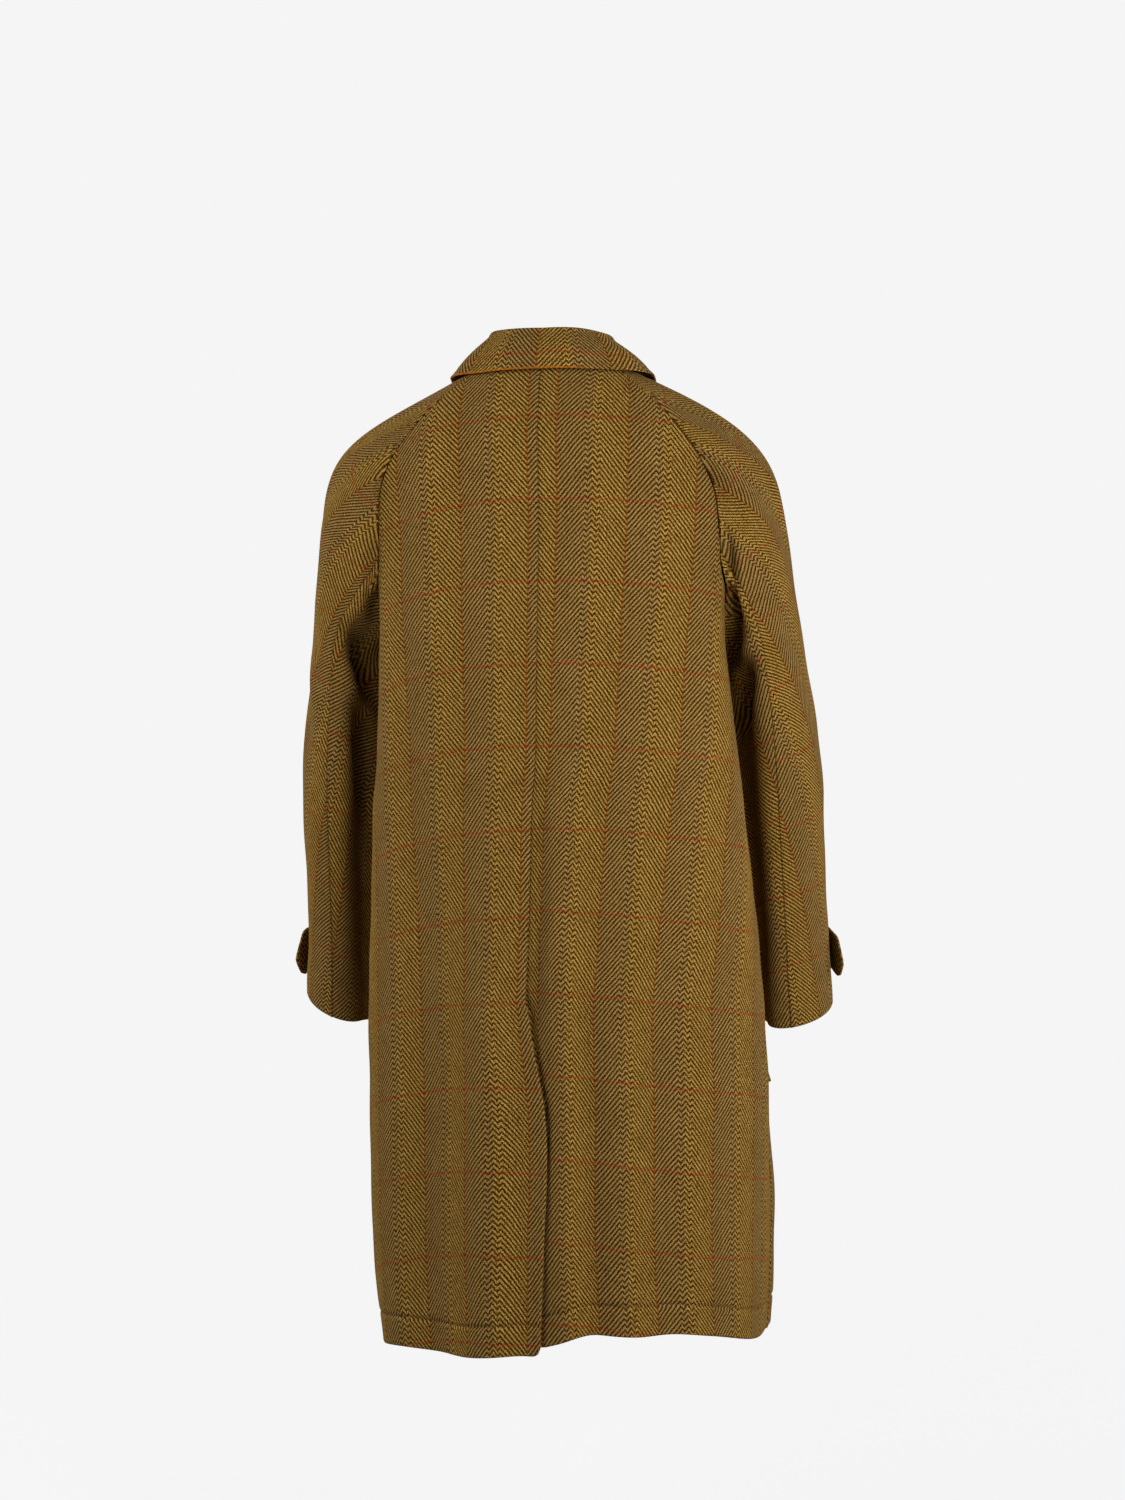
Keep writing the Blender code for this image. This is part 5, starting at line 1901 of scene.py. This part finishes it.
@dataclass
class Studio:
    """Pale floor, even white surroundings, soft lights and the camera."""

    view_turn: float = 10.0
    distance: float = 2.6
    eye_height: float = -0.425
    lens: float = 56.7
    sensor: float = 36.0
    shift: float = 0.007
    middle: float = -0.45
    floor_height: float = -1.47
    floor_core: float = 0.4
    floor_radius: float = 2.4
    floor_sides: int = 96
    floor_grey: float = 0.20
    floor_cast: float = 0.20
    floor_glow: float = 0.70
    surround: float = 0.913
    ambient: float = 0.13

    def build(self) -> None:
        """Build the whole studio."""
        self.camera()
        self.world()
        self.floor()
        for lamp in LAMPS:
            lamp.build(self.view_turn, Vector((0.0, 0.0, self.middle)))

    def camera(self) -> None:
        """Set up the camera at the photograph's angle."""
        turn = math.radians(self.view_turn)
        look = Vector((math.sin(turn), -math.cos(turn), 0.0))
        data = bpy.data.cameras.new("camera")
        data.lens, data.sensor_width, data.shift_x = self.lens, self.sensor, self.shift
        camera = placed("camera", data)
        camera.location = -look * self.distance + Vector((0.0, 0.0, self.eye_height))
        camera.rotation_euler = look.to_track_quat("-Z", "Y").to_euler()
        bpy.context.scene.camera = camera

    def world(self) -> None:
        """Set up the even white surroundings."""
        world = bpy.data.worlds.new("surroundings")
        world.use_nodes = True
        nodes, links = world.node_tree.nodes, world.node_tree.links
        kinds = ("Background", "MixShader", "LightPath")
        cast, choose, path = (nodes.new("ShaderNode" + kind) for kind in kinds)
        links.new(path.outputs["Is Camera Ray"], choose.inputs["Fac"])
        for k, node, strength in ((1, cast, self.ambient), (2, nodes["Background"], self.surround)):
            node.inputs["Color"].default_value = WHITE
            node.inputs["Strength"].default_value = strength
            links.new(node.outputs[0], choose.inputs[k])
        links.new(choose.outputs[0], nodes["World Output"].inputs["Surface"])
        bpy.context.scene.world = world
        bpy.context.scene.view_settings.view_transform = "Standard"

    def floor(self) -> None:
        """Lay the pale floor."""
        graph = Graph("floor")
        x, y, _ = graph.place()
        fade = 1.0 - graph.step(graph.math("SQRT", x * x + y * y), self.floor_core, self.floor_radius)
        seen = graph.node("ShaderNodeLightPath", {}, {}, "Is Camera Ray")
        glow = graph.blend(seen, (*[self.floor_cast] * 3, 1.0), WHITE)
        graph.surface(
            (*[self.floor_grey] * 3, 1.0), 0.9, None, Alpha=fade,
            Emission_Color=glow, Emission_Strength=self.floor_glow, Specular_IOR_Level=0.0,
        )
        radius, height = self.floor_radius, self.floor_height
        rim = [(radius * x, radius * y, height) for x, y in circle(self.floor_sides)]
        mesh = bpy.data.meshes.new("floor")
        mesh.from_pydata(rim, [], [tuple(range(self.floor_sides))])
        mesh.materials.append(graph.material)
        placed("floor", mesh)


LEFT_BACK_FOLDS = (
    Fold(0.034, -0.42, -1.30, 0.028, 0.005),
    Fold(0.112, -0.40, -1.30, 0.040, -0.012, 0.014),
    Fold(0.185, -0.58, -1.20, 0.030, 0.004),
)
RIGHT_BACK_FOLDS = (
    Fold(0.040, -0.42, -1.06, 0.016, 0.005),
    Fold(0.066, -0.48, -1.20, 0.017, -0.004),
    Fold(0.105, -0.46, -1.20, 0.020, 0.004),
    Fold(0.144, -0.50, -1.20, 0.018, -0.004),
    Fold(0.180, -0.50, -1.20, 0.020, 0.003),
)
FRONT_FOLDS = (
    Fold(0.130, -0.45, -1.20, 0.034, 0.005),
    Fold(0.205, -0.55, -1.20, 0.030, -0.004),
)
LEFT_BACK_CREASES = (
    Crease((0.112, -0.380), (0.040, -0.386), 0.008, -0.0011),
    Crease((0.170, -0.236), (0.118, -0.325), 0.011, 0.0014),
    Crease((0.184, -0.300), (0.150, -0.420), 0.013, -0.0016),
    Crease((0.150, -0.480), (0.128, -0.640), 0.018, -0.0014),
    Crease((0.002, -0.690), (0.034, -0.712), 0.005, -0.0012),
    Crease((-0.005, -0.440), (-0.006, -0.690), 0.013, -0.0042),
)
RIGHT_BACK_CREASES = (
    Crease((0.176, -0.215), (0.122, -0.300), 0.010, 0.0012),
    Crease((0.186, -0.300), (0.150, -0.420), 0.013, -0.0016),
    Crease((0.005, -0.440), (0.006, -0.690), 0.013, -0.0048),
    Crease((0.028, -0.470), (0.030, -0.740), 0.015, 0.0042),
    Crease((0.004, -0.640), (0.006, -0.705), 0.010, -0.0030),
    Crease((0.060, -0.560), (0.110, -0.600), 0.010, -0.0008),
)
FRONT_CREASES = (
    Crease((0.020, -0.335), (0.095, -0.395), 0.012, -0.0015),
    Crease((0.110, -0.250), (0.060, -0.330), 0.012, 0.0014),
    Crease((0.020, -0.500), (0.090, -0.530), 0.012, -0.0012),
)
RIGHT_UNDER_CREASES = (
    Crease((0.190, -0.288), (0.108, -0.256), 0.009, 0.0060),
    Crease((0.200, -0.338), (0.124, -0.272), 0.010, -0.0200),
    Crease((0.190, -0.352), (0.108, -0.312), 0.010, 0.0060),
    Crease((0.190, -0.420), (0.114, -0.340), 0.014, -0.0200),
)
LEFT_UNDER_CREASES = (
    Crease((0.170, -0.312), (0.108, -0.266), 0.010, 0.0040),
    Crease((0.200, -0.382), (0.108, -0.300), 0.011, -0.0220),
    Crease((0.180, -0.396), (0.108, -0.348), 0.010, 0.0060),
    Crease((0.162, -0.500), (0.142, -0.380), 0.018, -0.0160),
)
LEFT_UPPER_CREASES = (
    Crease((0.030, -0.300), (0.066, -0.385), 0.010, 0.0030),
    Crease((0.016, -0.330), (0.052, -0.430), 0.012, -0.0028),
)
UPPER_CREASES = (
    Crease((-0.085, -0.480), (-0.030, -0.500), 0.010, -0.0022),
    Crease((-0.085, -0.520), (-0.035, -0.512), 0.009, -0.0016),
    Crease((0.020, -0.300), (0.075, -0.345), 0.014, -0.0016),
)


@dataclass
class Coat:
    """The whole coat: its pieces, their finishes and their sewing."""

    form: BodyForm = field(default_factory=BodyForm)
    cloths: dict[str, Cloth] = field(default_factory=dict)
    button_count: int = 4
    button_top: float = -0.175
    button_pitch: float = 0.165
    button_radius: float = 0.0125
    button_gap: float = 0.0003
    tab_button_radius: float = 0.0095
    tab_button_gap: float = 0.0006
    tab_button_column: int = 7

    def sleeve(self, side: Side, half: Half) -> Sleeve:
        """Sizes of one half of a sleeve.

        Args:
            side: Its side.
            half: Its half.

        Returns:
            The sleeve's half.
        """
        left, upper = side is Side.LEFT, half is Half.UPPER
        creases = UPPER_CREASES + (LEFT_UPPER_CREASES if left else ())
        if not upper:
            creases = LEFT_UNDER_CREASES if left else RIGHT_UNDER_CREASES
        return Sleeve(
            self.form, side, half, creases, fullness=1.96 if left else 1.78,
            cuff_slope=0.30 if left else 0.10, weft_height=-0.576 if left else -0.583,
            rust_inside=0.020 if upper else (0.018 if left else 0.051),
        )

    def dress(self, piece: Piece, node: str) -> None:
        """Put a piece in place of its node.

        Args:
            piece: The piece.
            node: Node that it stands for.
        """
        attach(piece, "root")
        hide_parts(node)
        LOG.info("%s stands for %s, %d faces", piece.name, node, len(piece.data.polygons))

    def build_cloth(self) -> None:
        """Build every piece of cloth and put it in place of its node."""
        tweed = TweedFinish().material()
        collar_tweed = TweedFinish(name="tweed_collar", edge_line=True).material()
        form, (left, right) = self.form, (self.sleeve(side, Half.UPPER) for side in Side)
        parts = (
            BackPanel(
                form, Side.LEFT, LEFT_BACK_FOLDS, LEFT_BACK_CREASES, rust_offset=0.0112, hem_shift=-0.011
            ),
            BackPanel(
                form, Side.RIGHT, RIGHT_BACK_FOLDS, RIGHT_BACK_CREASES, rust_offset=0.0205,
                hem_shift=0.024, shear=0.008, droop_radius=1.4, even_columns=104,
            ),
            *(FrontPanel(form, side, FRONT_FOLDS, FRONT_CREASES) for side in Side),
            *(self.sleeve(side, half) for side in Side for half in Half),
            Collar(form),
            CuffTab(left, top=0.074, leaves=-21.0, tail=0.028, droop=0.007, flare=0.005),
            CuffTab(right, top=0.083, leaves=-27.0, tail=0.034, droop=0.004, flare=0.0),
            *(PocketFlap(form, side, FRONT_FOLDS) for side in Side),
        )
        for part in parts:
            cloth = part.cloth()
            self.cloths[cloth.node] = cloth
            piece = cloth.build("cloth_" + cloth.node, collar_tweed if cloth.node == "collar" else tweed)
            self.dress(piece, cloth.node)
            self.declare(cloth)

    def declare(self, cloth: Cloth) -> None:
        """Work out a piece's kind, side, flat size and area, which nothing further uses.

        Args:
            cloth: Its cloth.
        """
        kind, side = cloth.node.split("_")[0], cloth.node.split("_")[-1]
        width, length = cloth.flat_size()
        area = min(cloth.area(), width * length)

    def buttons(self) -> list[HornButton]:
        """Place the buttons down the front and on the tabs.

        Returns:
            The buttons.
        """
        point, buttons = self.form.point, []
        for k in range(self.button_count):
            z = self.button_top - self.button_pitch * k
            slope = point(z - 0.01, 1, 3.0) - point(z + 0.01, 1, 3.0)
            normal = unit(np.cross(slope, point(z, 1, 2.95) - point(z, -1, 2.95)))
            place = point(z, 1, 3.0) + normal * self.button_gap
            buttons.append(HornButton(f"front_button_{k + 1}", place, normal, self.button_radius))
        for side in Side:
            cloth = self.cloths["tab_" + side.word]
            spot = cloth.grid.shape[0] // 2, self.tab_button_column
            normal = cloth.normals()[spot]
            place = cloth.grid[spot] + normal * self.tab_button_gap
            buttons.append(HornButton("tab_button_" + side.word, place, normal, self.tab_button_radius))
        return buttons

    def build_buttons(self) -> None:
        """Build the front buttons and the tab buttons with their threads."""
        horn = HornFinish().material()
        thread = ThreadFinish("button_thread", rgb(92, 66, 34), rgb(52, 34, 16)).material()
        sewing = Stitching(radius=0.00036)
        for button in self.buttons():
            self.dress(button.build("horn_" + button.node, horn), button.node)
            sewing.strands += button.thread_lines()
        self.sew("button_threads", thread, sewing, [])

    def build_stitches(self) -> None:
        """Sew the hem, the raglan seams, the vent and the edges of the collar, flaps and tabs."""
        thread = ThreadFinish("seam_thread", rgb(140, 108, 50), rgb(84, 60, 26)).material()
        dark = ThreadFinish("edge_thread", rgb(74, 50, 22), rgb(42, 27, 11)).material()
        self.sew("stitches_hem", dark, Stitching(), self.hem_lines())
        self.sew("stitches_raglan", thread, Stitching(length=0.0026, gap=0.0020), self.raglan_lines())
        self.sew("stitches_vent", dark, Stitching(length=0.0026), [self.vent_line()])
        self.sew("stitches_collar", dark, Stitching(length=0.0028), [self.collar_line()])
        self.sew("stitches_edges", dark, Stitching(length=0.0028), self.edge_lines())

    def sew(self, name: str, thread: Material, stitching: Stitching, lines: list[Line]) -> None:
        """Build rows of stitches as one piece.

        Args:
            name: Name of the piece.
            thread: Material of the thread.
            stitching: Sizes of the stitches.
            lines: Lines that they follow.
        """
        for points, normals in lines:
            stitching.follow(points, normals)
        piece = stitching.build(name, thread)
        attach(piece, "root")
        LOG.info("%s has %d stitches", name, len(stitching.strands))

    def hem_lines(self) -> list[Line]:
        """Lines above the hem, one on each panel."""
        row = -len(EDGE_ROWS) - (len(self.form.stitch_rows) + 1) // 2
        cloths = [self.cloths[f"{part}_{side.word}"] for part in ("back", "front") for side in Side]
        return [(cloth.grid[row, 2:-4], cloth.normals()[row, 2:-4]) for cloth in cloths]

    def raglan_lines(self) -> list[Line]:
        """Lines beside the raglan seams.

        Returns:
            Two lines on each sleeve.
        """
        lines = []
        for side in Side:
            cloth = self.cloths[f"sleeve_{side.word}_upper"]
            turns = self.sleeve(side, Half.UPPER).columns()
            points, normals = mix(cloth.grid[2], cloth.grid[3], 0.5), cloth.normals()[2]
            for chosen in ((turns > 17.0) & (turns < 79.0), (turns < -17.0) & (turns > -79.0)):
                lines.append((points[chosen], normals[chosen]))
        return lines

    def vent_line(self) -> Line:
        """Slanted line that holds the top of the vent, on the left back.

        Returns:
            Points and normals of the line.
        """
        cloth = self.cloths["back_left"]
        normals, heights = cloth.normals(), cloth.grid[:, 6, 2]
        points, ups = [], []
        for share in np.linspace(0.0, 1.0, 25):
            wanted, z = mix(0.003, 0.034, share), mix(-0.690, -0.711, share)
            row = int(np.searchsorted(-heights, -z)) - 1
            part = (heights[row] - z) / (heights[row] - heights[row + 1])
            line = mix(cloth.grid[row], cloth.grid[row + 1], part)
            lengths = walked(line)
            points.append(between(wanted, lengths, line))
            ups.append(normals[row, int(np.searchsorted(lengths, wanted))])
        return np.array(points), np.array(ups)

    def collar_line(self) -> Line:
        """Line inside the edge of the collar's fall."""
        cloth, fall = self.cloths["collar"], slice(-12, None)
        rise, inside = cloth.edge[:, fall, 1], range(3, len(cloth.grid) - 3)
        points = [between(-Collar.stitch, -rise[i], cloth.grid[i, fall]) for i in inside]
        return np.array(points), cloth.normals()[3:-3, -4]

    def edge_lines(self) -> list[Line]:
        """Lines inside the free edges of the pocket flaps and the cuff tabs.

        Returns:
            One line on each flap and tab.
        """
        lines = []
        for side in Side:
            for name, order in (("pocket_flap_", (0, 1, 2)), ("tab_", (1, 0, 2))):
                cloth = self.cloths[name + side.word]
                faces = [values.transpose(order) for values in (cloth.grid, cloth.normals())]
                lines.append(tuple(
                    np.concatenate((face[1:-3, 2], face[-3, 2:-2], face[1:-3, -3][::-1])) for face in faces
                ))
        return lines


def main() -> None:
    """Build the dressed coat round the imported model."""
    logging.basicConfig(level=logging.INFO, format="%(message)s")
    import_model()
    Studio().build()
    coat = Coat()
    coat.build_cloth()
    coat.build_buttons()
    coat.build_stitches()


if __name__ == "__main__":
    main()
